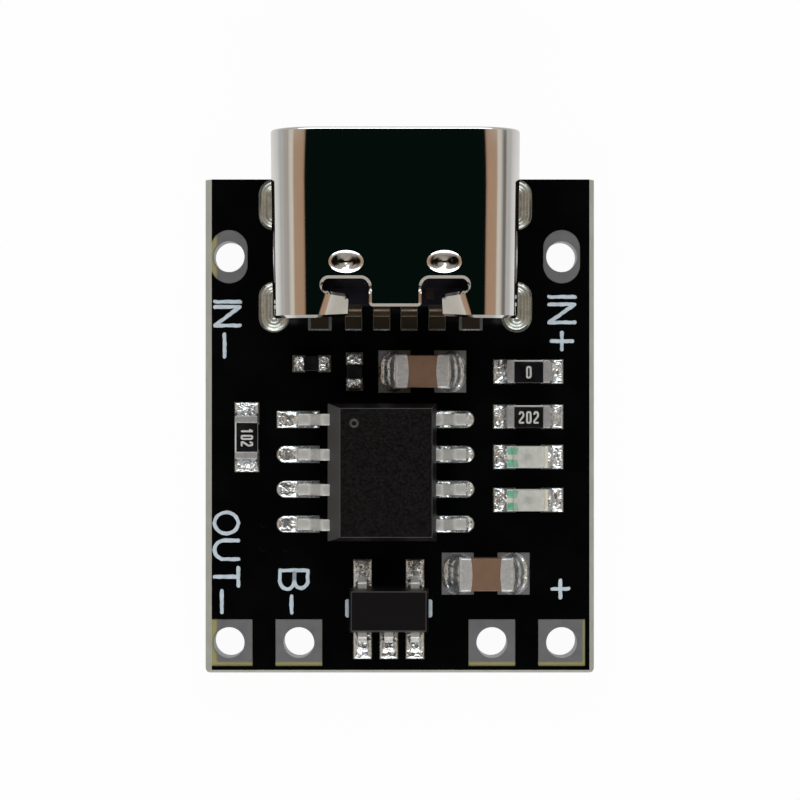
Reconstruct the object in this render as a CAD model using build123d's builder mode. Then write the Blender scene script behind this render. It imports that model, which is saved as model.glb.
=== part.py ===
"""Lithium battery charger module: a small black circuit board with a charging socket at one end,
wire holes at its edges, a charger chip, a protection chip, two indicator lamps and their chip
resistors and capacitors. Millimetres; the origin is the middle of the board's underside, +X right,
+Y towards the socket's mouth and +Z up from the populated side."""

import math
import os
from dataclasses import dataclass

from build123d import *

os.makedirs("parts", exist_ok=True)

# Board layers
board_t = 1.2
copper_t = 0.035
mask_t = copper_t  # the ink is levelled with the copper
mask_gap = 0.015  # bare laminate between a land and the ink round it
copper_edge = 0.45  # the copper stays this far inside the board's edges
corner_r = 0.2
layout_shift = -0.16  # the artwork sits a little left of the routed outline

# Break-off grooves along three of the board's edges
score_depth = 0.36
score_left = 0.25
score_right = 0.19
score_front = 0.13

# Wire holes
hole_r = 0.56
barrel_t = 0.03
square_land = 1.68
oval_land_w = 1.32
oval_land_l = 1.93
hole_pitch = 2.54
edge_margin = 1.045  # outer holes to the side edges
row_inset = 1.13  # front row of holes to the front edge
input_inset = 2.815  # input holes to the rear edge

# Charging socket: folded shell
mouth_w = 8.4
mouth_h = 2.62
shell_sheet = 0.27
shell_l = 6.75
shell_draw = 0.08  # a side, narrower at the rear than at the mouth
overhang = 1.62
lip_r = 0.1
seam_w = 0.05
seam_key = 0.45  # how far the seam's key reaches sideways
seam_key_l = 1.35
seam_neck = 0.9
tongue_half = 0.95  # shell's middle tongue over the housing
tongue_short = 0.4
notch_depth = 1.39
notch_r = 0.16
slot_outer = 1.62  # free edge of a bent tab, from the middle
tab_root = 2.57
tab_l = 0.9
tab_angle = 32
bend_r = 0.4
dimple_l = 1.27
dimple_w = 0.8
dimple_depth = 0.13
dimple_slope = 45
dimple_x = 1.77
dimple_from_rear = 1.98
leg_w = 0.9
leg_from_rear = 0.48
leg_from_mouth = 2.55
leg_relief = 0.12
leg_short = 0.1  # the legs stop this far above the underside
leg_slot_play = 0.16
leg_land_w = 1.1
leg_land_l = 1.84
land_gap = 0.43

# Charging socket: housing, plate and contacts
fit_gap = 0.03
block_inset = 0.5
block_t = 0.55
block_foot_w = 6.9
pocket_depth = 0.98
root_w = 7.0
root_h = 1.5
root_l = 0.9
tip_setback = 0.95
tongue_w = 6.69
tongue_t = 0.7
tongue_r = 0.2
tongue_lead_in = 0.14
latch_from_tip = 1.25
latch_l = 1.1
latch_depth = 0.3
plate_t = 0.15
plate_cover = 0.12
contact_t = 0.15
blade_w = 0.3
blade_cover = 0.35
exit_h = 0.32
tail_bend_r = 0.12
tail_run = 0.12
tail_slope = 0.2
foot_gap = 0.05  # end of a tail to the end of its land
signal_tail = 0.57
ground_tail = 0.64
signal_land = 0.6
ground_land = 0.84
contact_land_l = 0.97
land_past_rear = 0.37
sense_blade_x = 0.75
supply_blade_x = 1.25
sense_tail_x = 0.5
supply_tail_x = 1.52
ground_x = 2.75

# Charger chip, eight leads
chip_l = 4.98
chip_w = 3.95
chip_t = 1.4
chip_standoff = 0.1
chip_parting = 0.72
chip_draft = 14
chip_ledge_w = 0.3
chip_ledge_h = 0.45
chip_dimple_r = 0.18
chip_dimple_depth = 0.06
chip_dimple_x = 1.0
chip_dimple_y = 1.78
chip_lead_span = 6.1
chip_lead_w = 0.42
chip_lead_t = 0.2
chip_lead_pitch = 1.27
chip_foot = 0.48
chip_toe_left = 0.79  # land left past the leads' toes, at the first pin's side
chip_toe_right = 0.3
chip_land_l = 1.55
chip_land_w = 0.62

# Protection chip, five leads
guard_l = 2.9
guard_w = 1.62
guard_t = 1.05
guard_standoff = 0.05
guard_parting = 0.5
guard_draft = 9
guard_lead_span = 2.85
guard_lead_w = 0.32
guard_lead_t = 0.14
guard_lead_pitch = 0.955
guard_foot = 0.3
guard_land_span = 3.63
guard_land_l = 1.05
guard_land_w = 0.67
guard_shift = -0.24

# Leads of both chips
lead_anchor = 0.3  # inside the moulded body
shoulder_run = 0.16
lead_bend = 0.75  # middle radius of the bends, as a share of the sheet

# Chip resistors, 1608 and 1005
resistor_l = 1.58
resistor_w = 0.82
resistor_h = 0.45
resistor_end = 0.27
resistor_land_span = 2.54
resistor_land_l = 0.8
resistor_land_w = 0.88
small_l = 1.0
small_w = 0.52
small_h = 0.35
small_end = 0.23
small_land_span = 1.38
small_land_l = 0.45
small_land_w = 0.6
plating_t = 0.03
glaze_t = 0.03
glaze_side = 0.04  # ceramic left bare beside the black glaze

# Indicator lamps, 1608
lamp_l = 1.6
lamp_w = 0.8
lamp_base_h = 0.28
lamp_h = 0.55
lamp_lens_l = 1.16
lamp_lens_draft = 6
lamp_end = 0.3
lamp_scallop_r = 0.2
die_side = 0.26
die_h = 0.1

# Chip capacitors, 2012
cap_l = 1.97
cap_w = 1.24
cap_h = 0.85
cap_end = 0.44
cap_end_bow = 0.05
cap_edge = 0.09
cap_land_span = 3.18
cap_land_l = 1.15
cap_land_w = 1.52

# Solder
solder_climb = 0.75  # share of a part's height that its solder climbs
solder_hollow = 0.3  # where the fillet's slope breaks, as a share of its reach and climb
leg_solder_h = 0.22
leg_solder_edge = 0.08
leg_solder_slope = 30

# Spacing of the parts along the board, front edge to socket
guard_inset = 2.345
guard_to_chip = 0.7
chip_to_capacitor = 0.4
capacitor_to_socket = 0.74
output_cap_rise = 2.51
output_cap_shift = -0.225
second_row_drop = 1.64
first_lamp_drop = 1.47
second_lamp_drop = 1.57
side_resistor_rise = 1.26
small_one_rise = 0.29

# Spacing of the parts across the board
chip_shift = -0.48
side_resistor_gap = 0.65
column_gap = 0.7
input_cap_shift = 1.46
small_two_gap = 0.58
small_one_gap = 0.57

# Derived sizes of the board
shell_w = mouth_w + 2 * shell_sheet
shell_h = mouth_h + 2 * shell_sheet
leg_land_x = (shell_w - shell_sheet) / 2 + leg_slot_play / 2
outer_hole_x = leg_land_x + leg_land_w / 2 + land_gap + oval_land_w / 2
inner_hole_x = outer_hole_x - hole_pitch
board_w = 2 * (outer_hole_x + edge_margin)
board_l = (
    guard_inset
    + guard_land_span / 2
    + guard_to_chip
    + chip_l
    + chip_to_capacitor
    + cap_land_w
    + capacitor_to_socket
    + land_past_rear
    + shell_l
    - overhang
)
core_t = board_t - 2 * mask_t
front_y = -board_l / 2
rear_y = board_l / 2
hole_row_y = front_y + row_inset
input_hole_y = rear_y - input_inset

# Places of the socket's sections along Y, and its middle height
mouth_y = rear_y + overhang
shell_end_y = mouth_y - shell_l
block_rear_y = shell_end_y + block_inset
block_front_y = block_rear_y + block_t
root_front_y = block_front_y + root_l
tip_y = mouth_y - tip_setback
rear_leg_y = shell_end_y + leg_from_rear
front_leg_y = mouth_y - leg_from_mouth
shell_mid_z = board_t + shell_h / 2
shell_top_z = board_t + shell_h

# Places of the parts on the board
guard_x = layout_shift + guard_shift
guard_y = front_y + guard_inset
chip_x = layout_shift + chip_shift
chip_y = guard_y + guard_land_span / 2 + guard_to_chip + chip_l / 2
chip_land_span = chip_toe_left + chip_lead_span + chip_toe_right
chip_land_x = chip_x + (chip_toe_right - chip_toe_left) / 2
input_cap_x = chip_x + input_cap_shift
cap_row_y = chip_y + chip_l / 2 + chip_to_capacitor + cap_land_w / 2
output_cap_x = layout_shift + inner_hole_x + output_cap_shift
output_cap_y = hole_row_y + output_cap_rise
column_x = chip_land_x + chip_land_span / 2 + column_gap + resistor_land_span / 2
side_resistor_x = chip_land_x - chip_land_span / 2 - side_resistor_gap - resistor_land_w / 2
small_two_x = input_cap_x - cap_land_span / 2 - small_two_gap - small_land_w / 2
small_one_x = small_two_x - small_land_w / 2 - small_one_gap - small_land_span / 2


def save(piece, label):
    """Name a finished piece and write it to its own file."""
    piece.part.label = label
    export_step(piece.part, f"parts/{label}.step")


def upright(x, y, z, facing):
    """A vertical plane through a point: its own X points along facing, in degrees, its own Y up."""
    turn = math.radians(facing)
    return Plane(
        origin=(x, y, z),
        x_dir=(math.cos(turn), math.sin(turn), 0),
        z_dir=(math.sin(turn), -math.cos(turn), 0),
    )


def across_socket(y):
    """The socket's cross-section plane at a place along Y, centred on the shell."""
    return upright(layout_shift, y, shell_mid_z, 0)


def wall_x(y):
    """Outer face of the shell's side wall, from the socket's middle, at a place along Y."""
    return shell_w / 2 - shell_draw * (mouth_y - y) / shell_l


@dataclass(frozen=True)
class Land:
    """A bare copper land on the board: centre, sizes along X and Y, and which end is round.

    round_end is 1 for its right end, -1 for its left end and 0 for a rectangle.
    """

    x: float
    y: float
    size_x: float
    size_y: float
    round_end: int = 0

    def draw(self, grow=0.0):
        """Draw the land in the sketch that is open, grown all round by grow."""
        across = self.size_x + 2 * grow
        along = self.size_y + 2 * grow
        with Locations((self.x, self.y)):
            if self.round_end == 0:
                Rectangle(across, along)
            else:
                SlotOverall(across, along)
                with Locations((-self.round_end * across / 4, 0)):
                    Rectangle(across / 2, along)


@dataclass(frozen=True)
class Spot:
    """Where a part with two ends sits: its centre on the board and its turn in degrees."""

    x: float
    y: float
    turn: float = 0.0

    def plane(self, height=0.0):
        """The level plane of the spot, height above the lands, with X from end to end."""
        turn = math.radians(self.turn)
        return Plane(
            origin=(self.x, self.y, board_t + height),
            x_dir=(math.cos(turn), math.sin(turn), 0),
        )

    def side(self, along=0.0, flip=False):
        """The upright plane through the spot, moved along its length; flip faces it the other way."""
        turn = math.radians(self.turn)
        facing = self.turn + (180 if flip else 0)
        reach = -along if flip else along
        return upright(
            self.x + reach * math.cos(turn), self.y + reach * math.sin(turn), board_t, facing
        )

    def lands(self, span, length, width):
        """The two lands under the spot's part."""
        turn = math.radians(self.turn)
        lies_along_x = abs(math.cos(turn)) > 0.5
        size_x, size_y = (length, width) if lies_along_x else (width, length)
        reach = (span - length) / 2
        return [
            Land(self.x + s * reach * math.cos(turn), self.y + s * reach * math.sin(turn), size_x, size_y)
            for s in (-1, 1)
        ]


# Where every part sits
link_spot = Spot(column_x, cap_row_y)
current_spot = Spot(column_x, cap_row_y - second_row_drop)
lamp_one_spot = Spot(column_x, current_spot.y - first_lamp_drop)
lamp_two_spot = Spot(column_x, lamp_one_spot.y - second_lamp_drop)
side_spot = Spot(side_resistor_x, chip_y + side_resistor_rise, 90)
input_cap_spot = Spot(input_cap_x, cap_row_y)
output_cap_spot = Spot(output_cap_x, output_cap_y)
small_one_spot = Spot(small_one_x, cap_row_y + small_one_rise)
small_two_spot = Spot(small_two_x, cap_row_y, 90)

resistor_spots = [link_spot, current_spot, side_spot]
lamp_spots = [lamp_one_spot, lamp_two_spot]
capacitor_spots = [input_cap_spot, output_cap_spot]
small_spots = [small_one_spot, small_two_spot]

wire_holes = {
    "out_minus": (layout_shift - outer_hole_x, hole_row_y),
    "battery_minus": (layout_shift - inner_hole_x, hole_row_y),
    "battery_plus": (layout_shift + inner_hole_x, hole_row_y),
    "out_plus": (layout_shift + outer_hole_x, hole_row_y),
    "input_minus": (layout_shift - outer_hole_x, input_hole_y),
    "input_plus": (layout_shift + outer_hole_x, input_hole_y),
}
leg_places = [
    (layout_shift + side * leg_land_x, y) for side in (-1, 1) for y in (rear_leg_y, front_leg_y)
]
leg_slot_w = shell_sheet + 2 * leg_slot_play
leg_slot_l = leg_w + 2 * leg_slot_play + shell_sheet

# Leads: sides that carry them and their places along each side
chip_lead_ys = [chip_y + (i - 1.5) * chip_lead_pitch for i in range(4)]
guard_rows = {
    90: [guard_x - guard_lead_pitch, guard_x + guard_lead_pitch],
    270: [guard_x - guard_lead_pitch, guard_x, guard_x + guard_lead_pitch],
}

# Contacts: place on the tongue, place of the tail, widths, and whether it lies on the upper face
contacts = {
    "ground_left": (-ground_x, -ground_x, ground_tail, False),
    "supply_left": (-supply_blade_x, -supply_tail_x, signal_tail, False),
    "sense_left": (-sense_blade_x, -sense_tail_x, signal_tail, True),
    "sense_right": (sense_blade_x, sense_tail_x, signal_tail, False),
    "supply_right": (supply_blade_x, supply_tail_x, signal_tail, True),
    "ground_right": (ground_x, ground_x, ground_tail, True),
}
contact_land_y = shell_end_y - land_past_rear + contact_land_l / 2

# Lands that parts are soldered to, by what they carry
contact_lands = [
    Land(
        layout_shift + tail_x,
        contact_land_y,
        ground_land if tail_w == ground_tail else signal_land,
        contact_land_l,
    )
    for _, tail_x, tail_w, _ in contacts.values()
]
chip_lands = [
    Land(
        chip_land_x + side * (chip_land_span - chip_land_l) / 2,
        y,
        chip_land_l,
        chip_land_w,
        0 if side < 0 and y == chip_lead_ys[-1] else side,
    )
    for side in (-1, 1)
    for y in chip_lead_ys
]
guard_lands = [
    Land(x, guard_y + side * (guard_land_span - guard_land_l) / 2, guard_land_w, guard_land_l)
    for side, facing in ((1, 90), (-1, 270))
    for x in guard_rows[facing]
]
resistor_lands = [
    land
    for spot in resistor_spots + lamp_spots
    for land in spot.lands(resistor_land_span, resistor_land_l, resistor_land_w)
]
capacitor_lands = [
    land for spot in capacitor_spots for land in spot.lands(cap_land_span, cap_land_l, cap_land_w)
]
small_lands = [
    land for spot in small_spots for land in spot.lands(small_land_span, small_land_l, small_land_w)
]
surface_lands = (
    contact_lands + chip_lands + guard_lands + resistor_lands + capacitor_lands + small_lands
)


def draw_wire_land(name, grow=0.0):
    """Draw the copper round a wire hole: a square in the front row, an upright oval at the input."""
    with Locations(wire_holes[name]):
        if name.startswith("input"):
            SlotOverall(oval_land_l + 2 * grow, oval_land_w + 2 * grow, rotation=90)
        else:
            Rectangle(square_land + 2 * grow, square_land + 2 * grow)


def draw_leg_land(place, grow=0.0):
    """Draw the oval land round a shell leg's slot."""
    with Locations(place):
        SlotOverall(leg_land_l + 2 * grow, leg_land_w + 2 * grow, rotation=90)


# Laminate
with BuildPart() as board:
    with BuildSketch(Plane.XY.offset(mask_t)) as outline:
        Rectangle(board_w, board_l)
        fillet(outline.vertices().group_by(Axis.Y)[0], corner_r)
    extrude(amount=core_t)
    for edge_plane, score_w in (
        (upright(-board_w / 2, 0, 0, 180), score_left),
        (upright(board_w / 2, 0, 0, 0), score_right),
        (upright(0, front_y, 0, 270), score_front),
    ):
        top = board_t - mask_t
        with BuildSketch(edge_plane):
            Polygon((0, top), (-score_w, top), (0, top - score_depth))
            Polygon((0, mask_t), (-score_w, mask_t), (0, mask_t + score_depth))
        extrude(amount=board_l, both=True, mode=Mode.SUBTRACT)
    with Locations(*[(x, y, board_t) for x, y in wire_holes.values()]):
        Hole(hole_r + barrel_t)
    with BuildSketch(Plane.XY):
        with Locations(*leg_places):
            SlotOverall(leg_slot_l + 2 * barrel_t, leg_slot_w + 2 * barrel_t, rotation=90)
    extrude(amount=board_t, mode=Mode.SUBTRACT)
save(board, "printed_board")


def mask_sheet(level, lands):
    """The ink on one face of the board, open over its lands; level is its lower side."""
    with BuildPart() as sheet:
        with BuildSketch(Plane.XY.offset(level)):
            with Locations(((score_left - score_right) / 2, score_front / 2)):
                Rectangle(board_w - score_left - score_right, board_l - score_front)
            for name in wire_holes:
                with BuildSketch(mode=Mode.SUBTRACT):
                    draw_wire_land(name, mask_gap)
            for place in leg_places:
                with BuildSketch(mode=Mode.SUBTRACT):
                    draw_leg_land(place, mask_gap)
            for land in lands:
                with BuildSketch(mode=Mode.SUBTRACT):
                    land.draw(mask_gap)
        extrude(amount=mask_t)
    return sheet


save(mask_sheet(board_t - mask_t, surface_lands), "solder_mask_top")
save(mask_sheet(0, []), "solder_mask_underside")


# Plated wire holes: a barrel through the board with a land on each face
for name, (hole_x, hole_y) in wire_holes.items():
    with BuildPart() as plated:
        for level in (0, board_t - copper_t):
            with BuildSketch(Plane.XY.offset(level)):
                draw_wire_land(name)
                Rectangle(
                    board_w - 2 * copper_edge, board_l - 2 * copper_edge, mode=Mode.INTERSECT
                )
            extrude(amount=copper_t)
        with BuildSketch(Plane.XY):
            with Locations((hole_x, hole_y)):
                Circle(hole_r + barrel_t)
        extrude(amount=board_t)
        with Locations((hole_x, hole_y, board_t)):
            Hole(hole_r)
    save(plated, f"plated_hole_{name}")

# Plated slots for the shell's legs
with BuildPart() as leg_sleeves:
    for level in (0, board_t - copper_t):
        with BuildSketch(Plane.XY.offset(level)):
            for place in leg_places:
                draw_leg_land(place)
            Rectangle(board_w, board_l, mode=Mode.INTERSECT)
        extrude(amount=copper_t)
    with BuildSketch(Plane.XY):
        with Locations(*leg_places):
            SlotOverall(leg_slot_l + 2 * barrel_t, leg_slot_w + 2 * barrel_t, rotation=90)
    extrude(amount=board_t)
    with BuildSketch(Plane.XY):
        with Locations(*leg_places):
            SlotOverall(leg_slot_l, leg_slot_w, rotation=90)
    extrude(amount=board_t, mode=Mode.SUBTRACT)
save(leg_sleeves, "socket_leg_sleeves")

# Lands for the parts on the surface
with BuildPart() as surface_copper:
    with BuildSketch(Plane.XY.offset(board_t - copper_t)):
        for land in surface_lands:
            land.draw()
    extrude(amount=copper_t)
save(surface_copper, "surface_lands")

# The charging socket's shell, folded from one sheet
with BuildPart() as shell:
    wall_l = math.hypot(shell_l, shell_draw)
    for height, width, mode in (
        (shell_h, shell_w, Mode.ADD),
        (mouth_h, mouth_w, Mode.SUBTRACT),
    ):
        flat_half = (width - height) / 2
        with BuildSketch(Plane((layout_shift, 0, shell_mid_z))):
            Polygon(
                (-flat_half, mouth_y),
                (flat_half, mouth_y),
                (flat_half - shell_draw, shell_end_y),
                (shell_draw - flat_half, shell_end_y),
            )
        extrude(amount=height / 2, both=True, mode=mode)
        for side in (-1, 1):
            with BuildSketch(across_socket(mouth_y)):
                with Locations((side * flat_half, 0)):
                    Circle(height / 2)
            extrude(amount=wall_l, dir=(-side * shell_draw, -shell_l, 0), mode=mode)
    fillet(shell.faces().sort_by(Axis.Y)[-1].outer_wire().edges(), lip_r)
    # notches either side of the middle tongue, taking the bent tabs' places with them
    with BuildSketch(Plane((layout_shift, shell_end_y, shell_top_z))) as rear_cuts:
        with Locations((0, tongue_short / 2)):
            Rectangle(2 * tab_root, tongue_short)
        for side in (-1, 1):
            with Locations((side * (tongue_half + tab_root) / 2, notch_depth / 2)):
                Rectangle(tab_root - tongue_half, notch_depth)
        fillet(rear_cuts.vertices().group_by(Axis.Y)[-1], notch_r)
    extrude(amount=-(shell_sheet + shell_draw), mode=Mode.SUBTRACT)
    # opening in the floor for the housing's foot and the contacts' tails
    with BuildSketch(Plane((layout_shift, shell_end_y, board_t))):
        with Locations((0, (block_inset + block_t) / 2)):
            Rectangle(block_foot_w + 2 * fit_gap, block_inset + block_t)
    extrude(amount=shell_sheet + shell_draw, mode=Mode.SUBTRACT)
    # butt seam along the floor, keyed so that it can't spread
    with BuildSketch(Plane((layout_shift, 0, board_t))):
        with BuildLine() as seam:
            seam_start = shell_end_y + block_inset
            key_y = (seam_start + mouth_y) / 2
            Polyline(
                (0, seam_start),
                (0, key_y - seam_neck / 2),
                (seam_key, key_y - seam_key_l / 2),
                (seam_key, key_y + seam_key_l / 2),
                (0, key_y + seam_neck / 2),
                (0, mouth_y + seam_key),
            )
        trace(line_width=seam_w)
    extrude(amount=shell_sheet + shell_draw, mode=Mode.SUBTRACT)
    # legs cut free of the lower corners and left standing straight down
    for side in (-1, 1):
        for leg_y in (rear_leg_y, front_leg_y):
            leg_x = layout_shift + side * (wall_x(leg_y) - shell_sheet / 2)
            window_x = layout_shift + side * shell_w / 2
            with BuildSketch(Plane((window_x, leg_y, board_t))):
                Rectangle(2 * (shell_h / 2 - shell_draw), leg_w + 2 * leg_relief)
            extrude(amount=shell_h / 2, mode=Mode.SUBTRACT)
            with BuildSketch(Plane((leg_x, leg_y, leg_short))):
                Rectangle(shell_sheet, leg_w)
            extrude(amount=shell_mid_z - leg_short)
    # oval dimples pressed into the roof, proud on the inside
    for side in (-1, 1):
        for level, mode in ((shell_top_z - shell_sheet, Mode.ADD), (shell_top_z, Mode.SUBTRACT)):
            dimple_y = shell_end_y + dimple_from_rear
            with BuildSketch(Plane((layout_shift + side * dimple_x, dimple_y, level))):
                SlotOverall(dimple_l, dimple_w)
            extrude(amount=-dimple_depth, taper=dimple_slope, mode=mode)
    # tabs bent down towards the middle, which hold the housing in
    for side, facing in ((-1, 0), (1, 180)):
        root = upright(
            layout_shift + side * tab_root, shell_end_y, shell_top_z - shell_sheet / 2, facing
        )
        with BuildSketch(root):
            with BuildLine():
                flat = Line((-shell_sheet, 0), (0, 0))
                bend = JernArc(flat @ 1, flat % 1, bend_r, -tab_angle)
                left = tab_root - slot_outer - (bend @ 1).X
                PolarLine(bend @ 1, left / math.cos(math.radians(tab_angle)), angle=-tab_angle)
            trace(line_width=shell_sheet)
        extrude(amount=-tab_l if facing == 0 else tab_l)
save(shell, "socket_shell")

# Contacts, each a blade on the tongue, a riser in the block and a tail to its land
blade_end_y = tip_y - blade_cover
riser_y = block_rear_y + block_t / 2
foot_end_y = shell_end_y - land_past_rear + foot_gap
contact_parts = []
for name, (blade_x, tail_x, tail_w, is_upper) in contacts.items():
    face_z = shell_mid_z + (tongue_t / 2 - contact_t if is_upper else -tongue_t / 2)
    exit_z = board_t + exit_h
    with BuildPart() as contact:
        with BuildSketch(Plane((layout_shift, 0, face_z))):
            with Locations((blade_x, (blade_end_y + riser_y) / 2)):
                Rectangle(blade_w, blade_end_y - riser_y)
        extrude(amount=contact_t)
        with BuildSketch(upright(layout_shift, riser_y, 0, 0)):
            Polygon(
                (blade_x - blade_w / 2, face_z + contact_t),
                (blade_x + blade_w / 2, face_z + contact_t),
                (tail_x + tail_w / 2, exit_z - contact_t / 2),
                (tail_x - tail_w / 2, exit_z - contact_t / 2),
            )
        extrude(amount=contact_t / 2, both=True)
        with BuildSketch(upright(layout_shift + tail_x, riser_y, board_t, 270)):
            with BuildLine():
                run_end = riser_y - block_rear_y + tail_run
                FilletPolyline(
                    (0, exit_h),
                    (run_end, exit_h),
                    (run_end + tail_slope, contact_t / 2),
                    (riser_y - foot_end_y, contact_t / 2),
                    radius=tail_bend_r,
                )
            trace(line_width=contact_t)
        extrude(amount=tail_w / 2, both=True)
    save(contact, f"socket_contact_{name}")
    contact_parts.append(contact.part)

# Steel plate in the middle of the tongue, with the plug's latching notches at its edges
latch_y = tip_y - latch_from_tip
plate_rear_y = block_rear_y + block_t - plate_cover
with BuildPart() as mid_plate:
    with BuildSketch(Plane((layout_shift, 0, shell_mid_z - plate_t / 2))):
        with Locations((0, (tip_y - plate_cover + plate_rear_y) / 2)):
            Rectangle(tongue_w, tip_y - plate_cover - plate_rear_y)
        with Locations(*[(side * tongue_w / 2, latch_y) for side in (-1, 1)]):
            Rectangle(2 * latch_depth, latch_l, mode=Mode.SUBTRACT)
    extrude(amount=plate_t)
save(mid_plate, "socket_mid_plate")

# Moulded housing: block, root and tongue, round the plate and the contacts
block_w = mouth_w - 2 * shell_draw - 2 * fit_gap
block_h = mouth_h - 2 * fit_gap
with BuildPart() as housing:
    with BuildSketch(across_socket(block_rear_y)):
        SlotOverall(block_w, block_h)
        with Locations((0, -shell_h / 4)):
            Rectangle(block_foot_w, shell_h / 2)
    extrude(amount=-block_t)
    with BuildSketch(across_socket(block_front_y)):
        RectangleRounded(root_w, root_h, tongue_r)
    extrude(amount=-root_l)
    with BuildSketch(across_socket(root_front_y)):
        RectangleRounded(tongue_w, tongue_t, tongue_r)
    extrude(amount=-(tip_y - root_front_y))
    chamfer(
        housing.faces().sort_by(Axis.Y)[-1].outer_wire().edges().filter_by(Axis.X), tongue_lead_in
    )
    # pockets in the block's top that clear the shell's bent tabs
    with BuildSketch(Plane((layout_shift, block_rear_y + block_t / 2, shell_top_z))):
        with Locations(*[(side * (tongue_half + tab_root + fit_gap) / 2, 0) for side in (-1, 1)]):
            Rectangle(tab_root - tongue_half + fit_gap, block_t)
    extrude(amount=-(shell_sheet + pocket_depth), mode=Mode.SUBTRACT)
    with BuildSketch(Plane((layout_shift, latch_y, shell_mid_z - tongue_t / 2))):
        with Locations(*[(side * tongue_w / 2, 0) for side in (-1, 1)]):
            Rectangle(2 * latch_depth, latch_l)
    extrude(amount=tongue_t, mode=Mode.SUBTRACT)
    add(mid_plate.part, mode=Mode.SUBTRACT)
    add(contact_parts, mode=Mode.SUBTRACT)
save(housing, "socket_housing")


def lead_side(plane, half_span, body_half, plane_h, sheet, foot):
    """A gull-wing lead's side view: anchored in its body, over a shoulder and down to its foot."""
    with BuildSketch(plane) as side:
        with BuildLine():
            FilletPolyline(
                (body_half - lead_anchor, plane_h),
                (body_half + shoulder_run, plane_h),
                (half_span - foot, sheet / 2),
                (half_span, sheet / 2),
                radius=sheet * lead_bend,
            )
        trace(line_width=sheet)
    return side.sketch


def moulded_halves(centre_x, centre_y, size_x, size_y, standoff, parting, height, draft):
    """A chip's body: two halves that draw in from their parting line, upwards and downwards."""
    with BuildPart() as halves:
        for rise in (height - parting, -parting):
            with BuildSketch(Plane((centre_x, centre_y, board_t + standoff + parting))):
                Rectangle(size_x, size_y)
            extrude(amount=rise, taper=draft)
    return halves.part


# Charger chip
chip_plane_h = chip_standoff + chip_parting
with BuildPart() as chip_leads:
    for facing in (0, 180):
        for lead_y in chip_lead_ys:
            side_view = lead_side(
                upright(chip_x, lead_y, board_t, facing),
                chip_lead_span / 2,
                chip_w / 2,
                chip_plane_h,
                chip_lead_t,
                chip_foot,
            )
            extrude(side_view, amount=chip_lead_w / 2, both=True)
save(chip_leads, "charger_chip_leads")

with BuildPart() as chip_body:
    add(
        moulded_halves(
            chip_x, chip_y, chip_w, chip_l, chip_standoff, chip_parting, chip_t, chip_draft
        )
    )
    top_face = chip_body.faces().sort_by(Axis.Z)[-1]
    chamfer(top_face.edges().sort_by(Axis.X)[0], chip_ledge_w, chip_ledge_h, reference=top_face)
    with Locations((chip_x - chip_dimple_x, chip_y + chip_dimple_y, board_t + chip_standoff + chip_t)):
        Hole(chip_dimple_r, chip_dimple_depth)
    add(chip_leads.part, mode=Mode.SUBTRACT)
save(chip_body, "charger_chip_body")

# Protection chip
guard_plane_h = guard_standoff + guard_parting
with BuildPart() as guard_leads:
    for facing, places in guard_rows.items():
        for lead_x in places:
            side_view = lead_side(
                upright(lead_x, guard_y, board_t, facing),
                guard_lead_span / 2,
                guard_w / 2,
                guard_plane_h,
                guard_lead_t,
                guard_foot,
            )
            extrude(side_view, amount=guard_lead_w / 2, both=True)
save(guard_leads, "protection_chip_leads")

with BuildPart() as guard_body:
    add(
        moulded_halves(
            guard_x, guard_y, guard_l, guard_w, guard_standoff, guard_parting, guard_t, guard_draft
        )
    )
    add(guard_leads.part, mode=Mode.SUBTRACT)
save(guard_body, "protection_chip_body")


def chip_resistor(name, spot, length, width, height, end):
    """A chip resistor: ceramic, black glaze on its top and a plated clip round each end."""
    with BuildPart() as ends:
        with BuildSketch(spot.side()):
            with Locations((0, height / 2)):
                Rectangle(length, height)
                Rectangle(length - 2 * plating_t, height - 2 * plating_t, mode=Mode.SUBTRACT)
                Rectangle(length - 2 * end, height, mode=Mode.SUBTRACT)
        extrude(amount=width / 2, both=True)
    with BuildPart() as ceramic:
        with BuildSketch(spot.plane(plating_t)):
            Rectangle(length - 2 * plating_t, width)
        extrude(amount=height - 2 * plating_t)
    with BuildPart() as glaze:
        with BuildSketch(spot.plane(height - plating_t)):
            Rectangle(length - 2 * end, width - 2 * glaze_side)
        extrude(amount=glaze_t)
    save(ends, f"{name}_ends")
    save(ceramic, f"{name}_ceramic")
    save(glaze, f"{name}_glaze")


for name, spot in (
    ("link_resistor", link_spot),
    ("current_resistor", current_spot),
    ("side_resistor", side_spot),
):
    chip_resistor(name, spot, resistor_l, resistor_w, resistor_h, resistor_end)
for name, spot in (("small_resistor_one", small_one_spot), ("small_resistor_two", small_two_spot)):
    chip_resistor(name, spot, small_l, small_w, small_h, small_end)


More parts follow.
